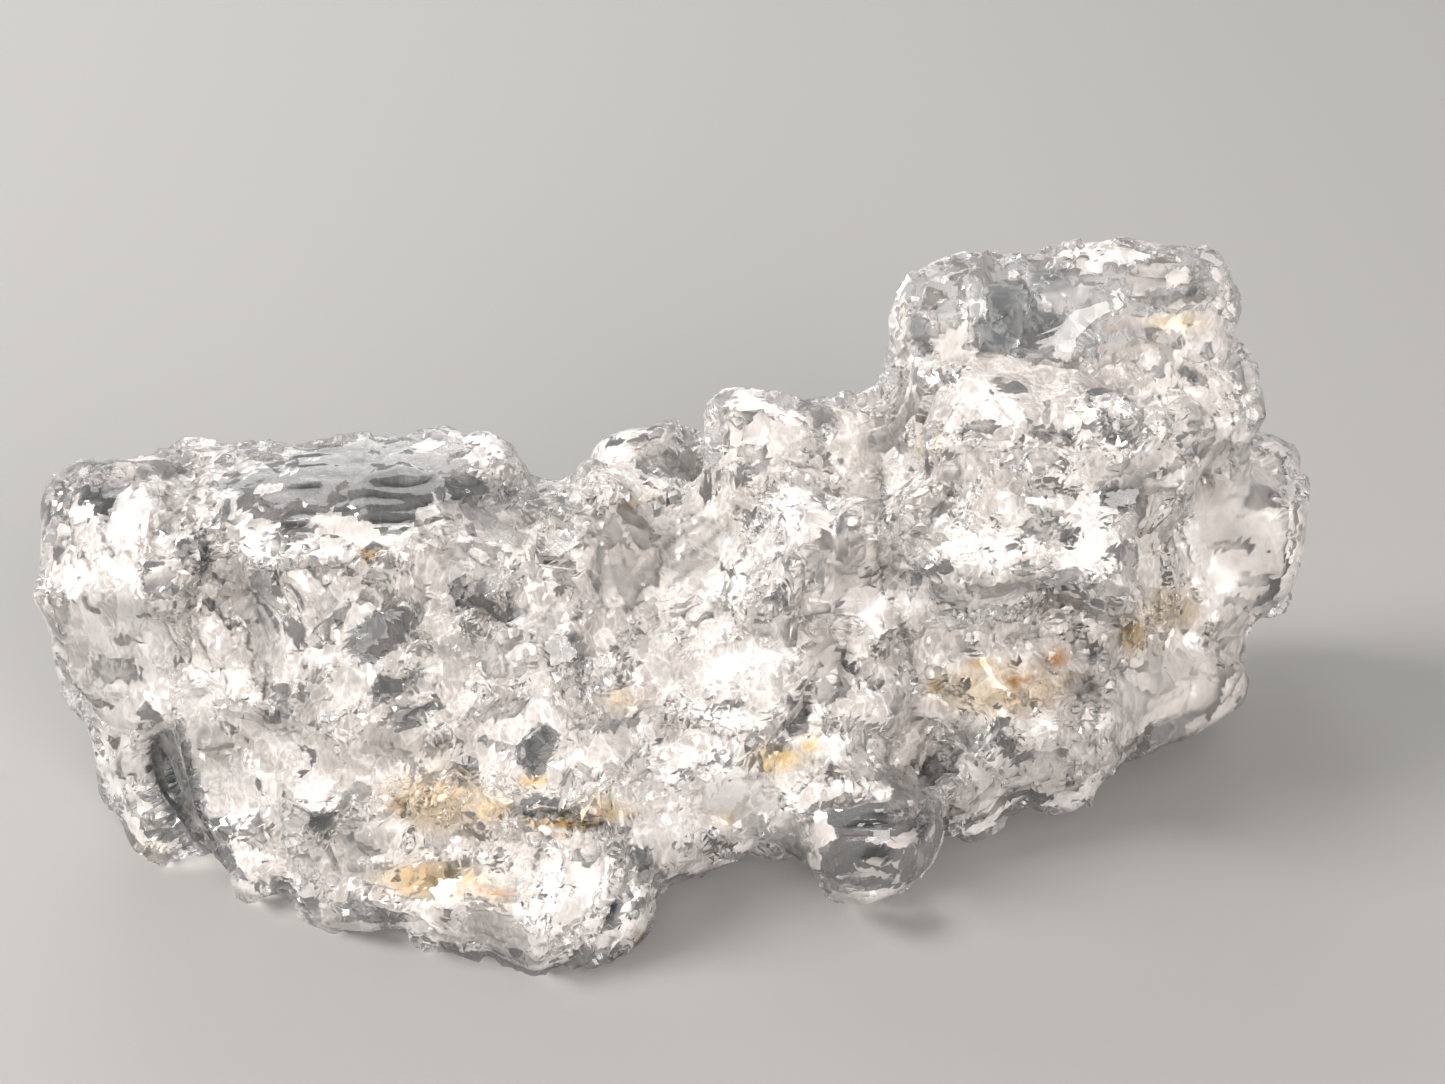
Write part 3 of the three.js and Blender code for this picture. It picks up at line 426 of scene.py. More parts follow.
surface = {
    "seed": 8,
    "crystalAxis": (0.06, -0.16, 1.0),
    "crystalTurn": 17.0,  # degrees about that axis
    "voxel": 0.18,  # mm
    "fill": 0.8,  # mm, clefts narrower than twice this close
    "fillVoxel": 0.25,  # mm
    "smoothing": 10,  # passes over the coarse facets of the solid
    "calming": 30,  # passes where the surface is hardly etched
    "calmStep": 0.6,  # how far each of them goes
    "rimFacing": 0.5,  # what turns further than this from the eye is an outer edge
    "rimCalm": 0.75,  # how much less the worn outer edges are etched
    "lineCalm": 0.5,  # and how much less the fields of fine lines are
    "lineEdge": 8,  # pixels over which such a field fades out
    "flatEdge": 4,  # pixels over which a smooth face runs out into the rest
    "flatMost": 0.7,  # mm, how far a smooth face is drawn flat at most
    # etch facets: spacing, rise and most relief in mm, how far they lean at random, how much they
    # follow the crystal's faces, how long they are along its axis, and how many meet in a place
    "coarse": {"spacing": 1.4, "rise": 0.1, "most": 0.26, "lean": 0.35, "snap": 0.6,
        "stretch": 1.5, "near": 3},
    "fine": {"spacing": 0.6, "rise": 0.02, "most": 0.07, "lean": 0.3, "snap": 0.5,
        "stretch": 1.5, "near": 2},
    "leastSlope": 0.35,  # facets steeper to the surface than this don't cut it
    "pointSink": 0.2,  # mm, how deep the small upright crystals are rooted
    "pointLean": 0.5,  # how much they lean out of the surface
    "chips": 150,  # small crystals over the rest of the surface
    "chipWidth": (0.3, 0.8),  # mm
    "chipLength": (0.8, 1.8),  # of the width
    "chipSink": 0.3,  # of the width
    "chipLean": 0.35,
    "chipSmooth": 0.2,  # they stand only where the surface is rougher than this,
    "chipHeight": 1,  # mm, at least so high above the floor,
    "chipFacing": 0.45,  # and where the surface faces the eye by more than this
    "pitDepth": 0.45,  # mm
    "sharpAngle": 24,  # degrees
    "triangles": 190000,
    "windowDepth": 30.0,  # mm, how far down one sees under a clear face
}


def unit(vectors):
    return vectors / np.maximum(np.linalg.norm(vectors, axis=-1, keepdims=True), 1e-9)


def crystalFrame(spec):
    axis = Vector(spec["crystalAxis"]).normalized()
    side = Matrix.Rotation(math.radians(spec["crystalTurn"]), 3, axis) @ axis.orthogonal().normalized()
    return np.array((side, axis.cross(side), axis))


def crystalFaces(spec):
    # beryl's faces: both prisms, two pyramids and the flat end
    faces = [(0.0, 0.0, 1.0), (0.0, 0.0, -1.0)]
    for turn in range(12):
        angle = math.radians(30 * turn)
        faces.append((math.cos(angle), math.sin(angle), 0.0))
        slope = math.radians(30 if turn % 2 else 45)
        for end in (-1, 1):
            side = math.sin(slope)
            faces.append((side * math.cos(angle), side * math.sin(angle), end * math.cos(slope)))
    return unit(np.array(faces)) @ crystalFrame(spec)


def meshArrays(mesh):
    mesh.calc_loop_triangles()
    places = np.empty(len(mesh.vertices) * 3)
    mesh.vertices.foreach_get("co", places)
    triangles = np.empty(len(mesh.loop_triangles) * 3, int)
    mesh.loop_triangles.foreach_get("vertices", triangles)
    return places.reshape(-1, 3), triangles.reshape(-1, 3)


def vertexNormals(mesh):
    normals = np.empty(len(mesh.vertices) * 3)
    mesh.vertices.foreach_get("normal", normals)
    return normals.reshape(-1, 3)


def setPlaces(mesh, places):
    mesh.vertices.foreach_set("co", places.ravel())
    mesh.update()


def applyModifier(obj, kind, **settings):
    modifier = obj.modifiers.new(kind, kind)
    for key, value in settings.items():
        setattr(modifier, key, value)
    graph = bpy.context.evaluated_depsgraph_get()
    mesh = bpy.data.meshes.new_from_object(obj.evaluated_get(graph))
    obj.modifiers.clear()
    old, obj.data = obj.data, mesh
    bpy.data.meshes.remove(old)


def triangleNormals(places, triangles):
    # as long as twice the triangle's area
    corners = places[triangles]
    return np.cross(corners[:, 1] - corners[:, 0], corners[:, 2] - corners[:, 0])


def spreadOver(places, triangles, count, rng):
    corners = places[triangles]
    normals = triangleNormals(places, triangles)
    areas = np.linalg.norm(normals, axis=1)
    chosen = rng.choice(len(triangles), count, p=areas / areas.sum())
    a, b = rng.random((2, count))
    flip = a + b > 1
    a[flip], b[flip] = 1 - a[flip], 1 - b[flip]
    origin, first, second = corners[chosen].transpose(1, 0, 2)
    at = origin + a[:, None] * (first - origin) + b[:, None] * (second - origin)
    return at, normals[chosen] / np.maximum(areas[chosen, None], 1e-12)


def kdTree(places):
    tree = KDTree(len(places))
    for n, place in enumerate(places):
        tree.insert(place, n)
    tree.balance()
    return tree


def inSight(places, tree, slack=0.9):
    # True where at most so much of the specimen, in mm, stands before the place
    eye = Vector(cameraAxes(camera)[0])
    seen = np.zeros(len(places), bool)
    for n, place in enumerate(places):
        ray = Vector(place) - eye
        hit = tree.ray_cast(eye, ray)
        seen[n] = hit[0] is None or hit[3] > ray.length - slack
    return seen


def insideBy(pixels, corners, margin=12):
    # how many pixels inside the outline each one lies, or outside it where negative. It isn't
    # measured further out than the margin.
    corners = np.array(corners, float)
    inside = np.full(len(pixels), -np.inf)
    near = np.all((pixels > corners.min(0) - margin) & (pixels < corners.max(0) + margin), axis=1)
    p = pixels[near]
    best = np.full(len(p), np.inf)
    odd = np.zeros(len(p), bool)
    for a, b in zip(corners, np.roll(corners, -1, axis=0)):
        along = np.clip(((p - a) @ (b - a)) / ((b - a) @ (b - a)), 0, 1)
        best = np.minimum(best, np.linalg.norm(p - a - along[:, None] * (b - a), axis=1))
        crossed = (a[1] > p[:, 1]) != (b[1] > p[:, 1])
        with np.errstate(divide="ignore", invalid="ignore"):
            odd ^= crossed & (p[:, 0] < (b[0] - a[0]) * (p[:, 1] - a[1]) / (b[1] - a[1]) + a[0])
    inside[near] = np.where(odd, best, -best)
    return inside


def insideShare(pixels, corners, edge):
    # 1 inside the outline and 0 outside, with an edge so many pixels wide
    return np.clip(insideBy(pixels, corners) / edge + 0.5, 0, 1)


def areaValue(pixels, seen, areas, usual, fall=1.8):
    # each area's value holds in its middle and falls back to the usual one at its reach
    value = np.full(len(pixels), usual)
    for middle, reach, own in areas.values():
        far = np.linalg.norm((pixels - middle) / reach, axis=1)
        value += (own - value) * np.clip(fall - fall * far, 0, 1) * seen
    return value


def faceShare(pixels, seen, faces, edge=3):
    # how far each place lies in one of the smooth faces, 0 to 1
    share = np.zeros(len(pixels))
    for _, corners in faces.values():
        share = np.maximum(share, insideShare(pixels, corners, edge))
    return share * seen


def flattenFaces(places, normals, pixels, seen, faces, spec):
    # each smooth face is drawn onto the plane that fits it best, but the round lobe stays round
    edge, most, fewest = spec["flatEdge"], spec["flatMost"], 12
    for name, (_, corners) in faces.items():
        if name.startswith("lobe"):
            continue
        inside = insideBy(pixels, corners)
        core = (inside > 1) & seen
        if core.sum() < fewest:
            continue
        middle = places[core].mean(axis=0)
        facing = np.linalg.svd(places[core] - middle, full_matrices=False)[2][2]
        facing *= np.sign(facing @ normals[core].mean(axis=0))
        chosen = (inside > -edge) & seen
        weight = np.clip(inside[chosen] / edge + 1, 0, 1)
        height = np.clip((places[chosen] - middle) @ facing, -most, most)
        places[chosen] -= np.outer(height * weight, facing)


def smoothWhere(mesh, places, weight, passes):
    edges = np.empty(len(mesh.edges) * 2, int)
    mesh.edges.foreach_get("vertices", edges)
    ends = edges.reshape(-1, 2)
    starts = np.concatenate([ends[:, 0], ends[:, 1]])
    others = np.concatenate([ends[:, 1], ends[:, 0]])
    size = len(places)
    count = np.bincount(starts, minlength=size)[:, None]
    for _ in range(passes):
        total = [np.bincount(starts, weights=places[others, k], minlength=size) for k in range(3)]
        places += (np.stack(total, axis=1) / count - places) * weight[:, None]


def lineOnSurface(line, tree, apart=5):
    # pixels along the line, so far apart, brought onto the surface
    found = []
    for (x0, y0), (x1, y1) in zip(line, line[1:]):
        steps = max(1, int(math.hypot(x1 - x0, y1 - y0) / apart))
        for step in range(steps):
            start, ray = rayThrough((x0 + (x1 - x0) * step / steps, y0 + (y1 - y0) * step / steps))
            place = tree.ray_cast(start, ray)[0]
            if place:
                found.append(place)
    return found


def raiseLines(places, normals, tree, lines, sign, rng):
    for size, width, line in lines.values():
        found = lineOnSurface(line, tree)
        if not found:
            continue
        middle = np.array(found).mean(axis=0)
        reach = np.linalg.norm(np.array(found) - middle, axis=1).max() + width
        around = np.nonzero(np.linalg.norm(places - middle, axis=1) < reach)[0]
        near = kdTree(found)
        vary = 0.6 + 0.8 * rng.random(len(found))  # the line is broken up along its length
        for n in around:
            _, which, far = near.find(places[n])
            if far < width:
                places[n] += normals[n] * sign * size * vary[which] * (1 - far / width)


def linePattern(pixels, field):
    # fine steps along parallel lines, which waver a little
    spacing, _, turn, bend, corners = field
    fullTurn, scale = 6.283, camera["pixelsPerMm"]
    inside = insideShare(pixels, corners, surface["lineEdge"])
    chosen = np.nonzero(inside > 0)[0]
    angle = math.radians(turn)
    across = pixels[chosen] @ np.array((math.sin(angle), math.cos(angle))) / scale
    along = pixels[chosen] @ np.array((math.cos(angle), -math.sin(angle))) / scale
    waver = 0.12 * np.sin(along * 0.8 + turn) + 0.06 * np.sin(along * 2.1 + across)
    waver += bend * (along - along.mean()) ** 2
    step = (across + waver) / spacing
    strength = 0.55 + 0.45 * np.sin(along * 1.3 + 2.4 * np.floor(step))
    return chosen, (0.5 - 0.5 * np.cos(fullTurn * step)) * strength * inside[chosen]


def cutLines(places, normals, pixels, seen, fields):
    for field in fields.values():
        chosen, pattern = linePattern(pixels, field)
        places[chosen] -= normals[chosen] * (field[1] * pattern * seen[chosen])[:, None]


def besideLine(pixels, line, reach):
    # 1 on the line, falling to 0 at its reach in pixels
    line = np.array(line, float)
    weight = np.zeros(len(pixels))
    around = (pixels > line.min(0) - reach) & (pixels < line.max(0) + reach)
    near = np.nonzero(np.all(around, axis=1))[0]
    p = pixels[near]
    for a, b in zip(line, line[1:]):
        along = np.clip(((p - a) @ (b - a)) / ((b - a) @ (b - a)), 0, 1)
        far = np.linalg.norm(p - a - along[:, None] * (b - a), axis=1)
        weight[near] = np.maximum(weight[near], np.clip(1 - far / reach, 0, 1))
    return weight


def sinkPits(places, normals, pixels, seen, spec):
    edge, slope = 1.2, 0.7  # radii: where a pit begins, and how wide its slope is
    for group in pits.values():
        for x, y, radius in group:
            far = np.linalg.norm(pixels - (x, y), axis=1) / radius
            chosen = (far < edge) & seen
            depth = spec["pitDepth"] * np.clip(edge - far[chosen], 0, slope) / slope
            places[chosen] -= normals[chosen] * depth[:, None]


def etch(places, normals, triangles, amount, spec, faces, rng):
    # the surface is drawn to many small faces, each one nearly parallel to a face of the crystal
    area, tries = np.linalg.norm(triangleNormals(places, triangles), axis=1).sum() / 2, 3
    at, facing = spreadOver(places, triangles, int(tries * area / spec["spacing"] ** 2), rng)
    axis = crystalFrame(surface)[2]
    squeeze = np.eye(3) - np.outer(axis, axis) * (1 - 1 / spec["stretch"])
    squeezed = at @ squeeze
    tree = kdTree(squeezed)
    free = np.ones(len(at), bool)
    kept = []
    for n, place in enumerate(squeezed):
        if free[n]:
            kept.append(n)
            for _, other, _ in tree.find_range(place, spec["spacing"]):
                free[other] = False
    at, facing, squeezed = at[kept], facing[kept], squeezed[kept]
    leaning = unit(facing + spec["lean"] * (2 * rng.random(facing.shape) - 1))
    chosen = faces[np.argmax(leaning @ faces.T, axis=1)]
    plane = unit(spec["snap"] * chosen + (1 - spec["snap"]) * leaning)
    offset = np.sum(at * plane, axis=1) + spec["rise"] * (2 * rng.random(len(at)) - 1)
    tree = kdTree(squeezed)
    count, least = spec["near"], surface["leastSlope"]
    near = np.array([[found[1] for found in tree.find_n(p, count)] for p in places @ squeeze])
    slope = np.einsum("ik,ijk->ij", normals, plane[near])
    below = offset[near] - np.einsum("ik,ijk->ij", places, plane[near])
    height = below / np.maximum(slope, least)
    height[slope < least] = np.inf
    height = height.min(axis=1)
    height[np.isinf(height)] = 0
    height = np.clip(height - np.median(height), -spec["most"], spec["most"])
    print(len(at), "small faces of", spec["spacing"], "mm")
    return places + normals * (height * amount)[:, None]


def crystalPoint(at, width, length, facing, lean, rng):
    # a six-sided prism along the crystal's axis with a pointed end, a little flattened
    side, _, axis = crystalFrame(surface)
    waver, flattest, rounder = 0.08, 0.55, 0.45
    rings = ((-0.5 * length, 1.0), (0.45 * length, 0.9), (length, 0.12))  # height, width
    axis = unit(axis + lean * facing + waver * (2 * rng.random(3) - 1))
    side = unit(side - axis * (side @ axis))
    other = np.cross(axis, side)
    flat = flattest + rounder * rng.random()
    corners = []
    for rise, size in rings:
        for turn in range(6):
            angle = math.radians(60 * turn + 30)
            out = side * math.cos(angle) + other * math.sin(angle) * flat
            corners.append(at + axis * rise + out * width * size / 2)
    return corners


def addPoints(tree, triangles, places, spec, rng):
    corners, faces = [], []

    def add(at, width, length, facing, lean):
        start = len(corners)
        corners.extend(crystalPoint(at, width, length, facing, lean, rng))
        for ring in (0, 6):
            for turn in range(6):
                low, after = start + ring, (turn + 1) % 6
                faces.append((low + turn, low + after, low + 6 + after, low + 6 + turn))
        faces.append(tuple(start + k for k in range(5, -1, -1)))
        faces.append(tuple(start + k for k in range(12, 18)))

    for group in points.values():
        for x, y, width, height in group:
            start, ray = rayThrough((x, y))
            place, normal, _, _ = tree.ray_cast(start, ray)
            if place:
                root = np.array(place - normal * spec["pointSink"])
                add(root, width, height, np.array(normal), spec["pointLean"])
    at, facing = spreadOver(places, triangles, spec["chips"], rng)
    pixels, above = toPixels(at), 0.05  # mm
    seen = inSight(at + facing * above, tree)
    clear = faceShare(pixels, seen, clearFaces) + faceShare(pixels, seen, paleFaces)
    clear += 1 - areaValue(pixels, seen, etchAreas, 1.0)
    thin, thick = spec["chipWidth"]
    short, long = spec["chipLength"]
    for place, normal, share in zip(at, facing, clear):
        turned = abs(normal @ unit(cameraAxes(camera)[0] - place))
        free = share < spec["chipSmooth"] and place[2] > spec["chipHeight"]
        if free and turned > spec["chipFacing"]:
            width = thin + (thick - thin) * rng.random() ** 2
            length = width * (short + (long - short) * rng.random())
            add(place - normal * width * spec["chipSink"], width, length, normal, spec["chipLean"])
    return np.array(corners), faces


def makeCrystal(node, spec):
    rng = np.random.default_rng(spec["seed"])
    places, triangles = meshArrays(node.data)
    places = places / mm
    obj = bpy.data.objects.new("crystal_surface", bpy.data.meshes.new("crystal"))
    obj.data.from_pydata(places.tolist(), [], triangles.tolist())
    bpy.context.scene.collection.objects.link(obj)

    # narrow clefts close: the skin moves out, becomes one again, and moves back
    for move in (spec["fill"], -spec["fill"]):
        applyModifier(obj, "REMESH", mode="VOXEL", voxel_size=spec["fillVoxel"])
        setPlaces(obj.data, meshArrays(obj.data)[0] + vertexNormals(obj.data) * move)
    applyModifier(obj, "REMESH", mode="VOXEL", voxel_size=spec["fillVoxel"])
    applyModifier(obj, "SMOOTH", factor=0.5, iterations=spec["smoothing"])
    places, triangles = meshArrays(obj.data)
    tree = BVHTree.FromPolygons(places.tolist(), triangles.tolist())
    print("base form:", len(triangles), "triangles")

    corners, faces = addPoints(tree, triangles, places, spec, rng)
    start = len(places)
    joined = bpy.data.meshes.new("crystal")
    faces = triangles.tolist() + [[k + start for k in face] for face in faces]
    joined.from_pydata(np.vstack([places, corners]).tolist(), [], faces)
    obj.data = joined
    applyModifier(obj, "REMESH", mode="VOXEL", voxel_size=spec["voxel"])
    print("with standing points:", len(obj.data.polygons), "faces")

    places, triangles = meshArrays(obj.data)
    normals = vertexNormals(obj.data)
    pixels, seen = toPixels(places), inSight(places, tree)
    clear = faceShare(pixels, seen, clearFaces)
    pale = faceShare(pixels, seen, paleFaces)
    etched = areaValue(pixels, seen, etchAreas, 1.0)
    towards = unit(cameraAxes(camera)[0] - places)
    rim = 1 - np.clip(np.abs(np.sum(normals * towards, axis=1)) / spec["rimFacing"], 0, 1)
    etched *= 1 - spec["rimCalm"] * rim
    for *_, corners in lineFields.values():
        field = insideShare(pixels, corners, spec["lineEdge"])
        etched *= 1 - spec["lineCalm"] * field * seen
    calm = np.clip(1.2 - 1.3 * etched, 0, 1)  # none where it is fully etched
    smoothWhere(obj.data, places, spec["calmStep"] * calm, spec["calming"])
    raiseLines(places, normals, tree, crests, 1, rng)
    raiseLines(places, normals, tree, grooves, -1, rng)
    flattenFaces(places, normals, pixels, seen, clearFaces, spec)
    flattenFaces(places, normals, pixels, seen, paleFaces, spec)
    rough = np.clip(1 - clear - pale, 0, 1) * etched
    setPlaces(obj.data, places)
    faceSet = crystalFaces(spec)
    places = etch(places, vertexNormals(obj.data), triangles, rough, spec["coarse"], faceSet, rng)
    setPlaces(obj.data, places)
    normals = vertexNormals(obj.data)
    cutLines(places, normals, pixels, seen, lineFields)
    sinkPits(places, normals, pixels, seen, spec)
    setPlaces(obj.data, places)
    places = etch(places, vertexNormals(obj.data), triangles, rough, spec["fine"], faceSet, rng)
    places[:, 2] = np.maximum(places[:, 2], 0)
    setPlaces(obj.data, places)
    share = min(1.0, spec["triangles"] / len(triangles))
    applyModifier(obj, "DECIMATE", ratio=share, use_collapse_triangulate=True)
    obj.data.shade_smooth()
    obj.data.set_sharp_from_angle(angle=math.radians(spec["sharpAngle"]))
    print("crystal surface:", len(obj.data.polygons), "triangles")
    places, _ = meshArrays(obj.data)
    markMesh(obj.data, places, inSight(places, tree), inSight(places, tree, spec["windowDepth"]))
    obj.data.transform(Matrix.Scale(mm, 4))
    return obj


marking = {
    "tone": 0.55,  # how light the surface is where nothing else is said
    "clearTone": 0.32,  # and the painted tone under a clear face that isn't painted dark at all
    "clearEdge": 2.5,  # pixels
    "paleEdge": 4,  # pixels
    # lines: how much lighter they are painted, and how far that reaches in pixels; painted highlights
    # on crests and rims, painted shade in grooves
    "crest": (0.4, 7),
    "rim": (0.4, 10),
    "groove": (-0.4, 8),
    "shadePerDepth": 4,  # painted light and shade in the fine lines, lighter on top and darker in the hollows, for each mm of their depth
    # painted shade in the etch pits: the tone their middle is painted
    "pitShade": 0.08,
    # how pits and stains fade out: the first less the second for each radius from the middle,
    # kept between 0 and 1
    "pitFall": (1.8, 1.6),
    "stainFall": (1.6, 1.4),
    # how clear these count for the materials, against 1 for a clear face
    "pale": 0.75,
    "smooth": 0.85,
    "haze": 0.75,
}


def markMesh(mesh, places, seen, behind):
    # what the materials read: how clear, how light and how stained each place is. The lightness
    # holds painted light and shade. A clear face's painted shade also marks the skin behind it, so that
    # it looks deep.
    pixels = toPixels(places)
    clear = faceShare(pixels, seen, clearFaces)
    pale = faceShare(pixels, seen, paleFaces)
    smooth = marking["smooth"] * (1 - areaValue(pixels, seen, etchAreas, 1.0))
    # painted light and shade by area, together with the beryl's milkiness
    light = areaValue(pixels, seen, toneAndShadeAreas, marking["tone"])
    # the pale faces' painted tone, partly their haze and partly painted light
    for tone, corners in paleFaces.values():
        light += (tone - light) * (insideShare(pixels, corners, marking["paleEdge"]) * seen)
    # painted shade: each clear face is painted darker, on itself and on the skin seen behind it
    for dark, corners in clearFaces.values():
        tone = marking["clearTone"] * (1 - dark)
        light += (tone - light) * (insideShare(pixels, corners, marking["clearEdge"]) * behind)
    # painted highlights along the crests and rims, painted shade along the grooves
    for kind, lines in (("crest", crests), ("rim", rims), ("groove", grooves)):
        lighter, reach = marking[kind]
        for line in lines.values():
            path = line if kind == "rim" else line[2]
            light += lighter * besideLine(pixels, path, reach) * seen
    # painted shade in the hollows of the fine lines, and painted light on their tops
    for field in lineFields.values():
        chosen, pattern = linePattern(pixels, field)
        light[chosen] += marking["shadePerDepth"] * field[1] * (0.25 - pattern) * seen[chosen]
    # painted shade: the etch pits are painted dark
    for group in pits.values():
        for x, y, radius in group:
            far = np.linalg.norm(pixels - (x, y), axis=1) / radius
            full, fall = marking["pitFall"]
            light += (marking["pitShade"] - light) * (np.clip(full - fall * far, 0, 1) * seen)
    stain, brown = np.zeros(len(places)), np.zeros(len(places))
    for middle, reach, strength, hue in stains.values():
        far = np.linalg.norm((pixels - middle) / reach, axis=1)
        full, fall = marking["stainFall"]
        weight = np.clip(full - fall * far, 0, 1) * strength * seen
        brown = np.where(weight > stain, hue, brown)
        stain = np.maximum(stain, weight)
    haze = areaValue(pixels, seen, hazeAreas, 0.0)
    clear = np.max([clear, marking["pale"] * pale, smooth, marking["haze"] * haze], axis=0)
    marks = {"clear": clear, "haze": haze, "light": light, "stain": stain, "brown": brown}
    for name, values in marks.items():
        mark = mesh.attributes.new(name, "FLOAT", "POINT")
        mark.data.foreach_set("value", values.astype(np.float32))


crystal = makeCrystal(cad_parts["goshenite_crystal"], surface)
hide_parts("goshenite_crystal")
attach(crystal, "root")


# Veils are healed cracks inside the crystal, which scatter the light and make it white.

veils = {
    "seed": 11,
    "layers": ((0.35, 0.0), (0.65, 0.64), (1.4, 0.95)),  # depth in mm, and the share that stays
    "edgeDepth": 0.5,  # mm, layers above this lie along the raised edges alone
    "edgeReach": (9, 5.4),  # pixels, beside the outer edges and beside the raised lines
    "edgeShare": (0.95, -0.05),  # how many there are on the edges, and off them
    "voxel": 0.3,  # mm
    "smoothing": 6,  # passes
    "triangles": 180000,  # each layer before it is broken up
    "patch": (1.7, 1.1, 0.8),  # mm, how wide, deep and high the flakes and gaps are
    "patchShift": 50,  # patches, how far apart the layers' patterns may be taken
    "toneSway": 0.8,  # how much the light and dark areas change that share
    "smoothSway": 0.5,  # and how much fewer lie close under the smooth areas
    "jitter": 0.06,  # mm
    "clearOf": 0.14,  # mm, least distance to the surface
    "gap": 3,  # pixels, how far they keep from a clear face's outline
    "slack": 2.0,  # mm, how much deeper than the layer still counts as in sight
    "breakUp": 1.2,  # how far the noise spreads, which breaks the layers up
}


def edgeWeight(pixels, reaches):
    # 1 on the outer edges and on the raised lines
    weight = np.zeros(len(pixels))
    for line in rims.values():
        weight = np.maximum(weight, besideLine(pixels, line, reaches[0]))
    for _, _, line in crests.values():
        weight = np.maximum(weight, besideLine(pixels, line, reaches[1]))
    return weight


def makeVeils(node, spec):
    rng = np.random.default_rng(spec["seed"])
    base = node.data
    places, triangles = meshArrays(base)
    places = places / mm
    skin = BVHTree.FromPolygons(places.tolist(), triangles.tolist())
    allPlaces, allFaces = [], []
    for depth, share in spec["layers"]:
        mesh = bpy.data.meshes.new("veils")
        mesh.from_pydata(places.tolist(), [], triangles.tolist())
        obj = bpy.data.objects.new("veils", mesh)
        bpy.context.scene.collection.objects.link(obj)
        applyModifier(obj, "REMESH", mode="VOXEL", voxel_size=spec["voxel"])
        applyModifier(obj, "SMOOTH", factor=0.5, iterations=spec["smoothing"])
        ratio = spec["triangles"] / len(obj.data.polygons) / 2
        applyModifier(obj, "DECIMATE", ratio=min(1.0, ratio))
        inner, faces = meshArrays(obj.data)
        normals = vertexNormals(obj.data)
        inner = inner - normals * depth + spec["jitter"] * (2 * rng.random(inner.shape) - 1)
        middle = inner[faces].mean(axis=1)
        pixels = toPixels(middle)
        near = inSight(middle, skin, depth + spec["slack"])
        window = inSight(middle, skin, surface["windowDepth"])
        usual = marking["tone"]
        amount = share + spec["toneSway"] * (areaValue(pixels, near, toneAndShadeAreas, usual) - usual)
        amount -= spec["smoothSway"] * (1 - areaValue(pixels, near, etchAreas, 1.0))
        amount *= areaValue(pixels, window, seeThrough, 1.0)
        if depth < spec["edgeDepth"]:
            most, off = spec["edgeShare"]
            amount = most * edgeWeight(pixels, spec["edgeReach"]) * near + off
        offset = Vector(rng.random(3) * spec["patchShift"])
        wave = np.array([noise.noise(Vector(m / spec["patch"]) + offset) for m in middle])
        keep = wave < (amount - 0.5) * spec["breakUp"]
        for _, corners in clearFaces.values():
            keep &= ~((insideBy(pixels, corners) > -spec["gap"]) & window)
        for n in np.nonzero(keep)[0]:
            hit = skin.find_nearest(Vector(middle[n]))
            inward = (Vector(middle[n]) - hit[0]).dot(hit[1]) < 0
            keep[n] = inward and hit[3] > spec["clearOf"]
        used, index = np.unique(faces[keep], return_inverse=True)
        start = sum(len(p) for p in allPlaces)
        allPlaces.append(inner[used])
        allFaces.append(index.reshape(-1, 3) + start)
        bpy.data.objects.remove(obj)
    mesh = bpy.data.meshes.new("veils")
    mesh.from_pydata((np.vstack(allPlaces) * mm).tolist(), [], np.vstack(allFaces).tolist())
    mesh.shade_smooth()
    places = meshArrays(mesh)[0] / mm
    seen = inSight(places, skin, spec["layers"][-1][0] + spec["slack"])
    markMesh(mesh, places, seen, seen)
    obj = bpy.data.objects.new("inner_veils", mesh)
    bpy.context.scene.collection.objects.link(obj)
    print("veils:", len(mesh.polygons), "triangles")
    return obj


inner = makeVeils(crystal, veils)
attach(inner, "root")
crystal.visible_shadow = False


def linear(colour):
    # sRGB hex to linear
    parts = [int(colour[k : k + 2], 16) / 255 for k in (1, 3, 5)]
    return [p / 12.92 if p <= 0.04045 else ((p + 0.055) / 1.055) ** 2.4 for p in parts] + [1.0]


def addNode(tree, kind, settings=None, links=None, out=0):
    # inputs go by name or number, and the chosen output comes back
    node = tree.nodes.new(kind)
    for key, value in (settings or {}).items():
        if isinstance(key, int) or key in node.inputs:
            node.inputs[key].default_value = value
        else:
            setattr(node, key, value)
    for key, socket in (links or {}).items():
        tree.links.new(socket, node.inputs[key])
    return node.outputs[out] if node.outputs else node


def setStops(ramp, tones):
    stops = ramp.node.color_ramp.elements
    while len(stops) < len(tones):
        stops.new(0.5)
    for stop, (position, colour) in zip(stops, sorted(tones.items())):
        stop.position, stop.color = position, linear(colour)


def addStain(tree, marks, clean, grain, spec):
    # iron oxide lies over the clean colour in grains, yellow where thin and brown where thick
    contrast, start = 4.0, -1.1
    ochres = {"data_type": "RGBA", 6: linear(spec["yellow"]), 7: linear(spec["brown"])}
    ochre = addNode(tree, "ShaderNodeMix", ochres, {"Factor": marks["brown"]}, 2)
    patchy = {"operation": "MULTIPLY_ADD", "use_clamp": True, 1: contrast, 2: start}
    broken = addNode(tree, "ShaderNodeMath", patchy, {0: grain})
    share = {0: marks["stain"], 1: broken}
    share = addNode(tree, "ShaderNodeMath", {"operation": "MULTIPLY"}, share)
    colours = {"Factor": share, 6: clean, 7: ochre}
    return addNode(tree, "ShaderNodeMix", {"data_type": "RGBA"}, colours, 2)


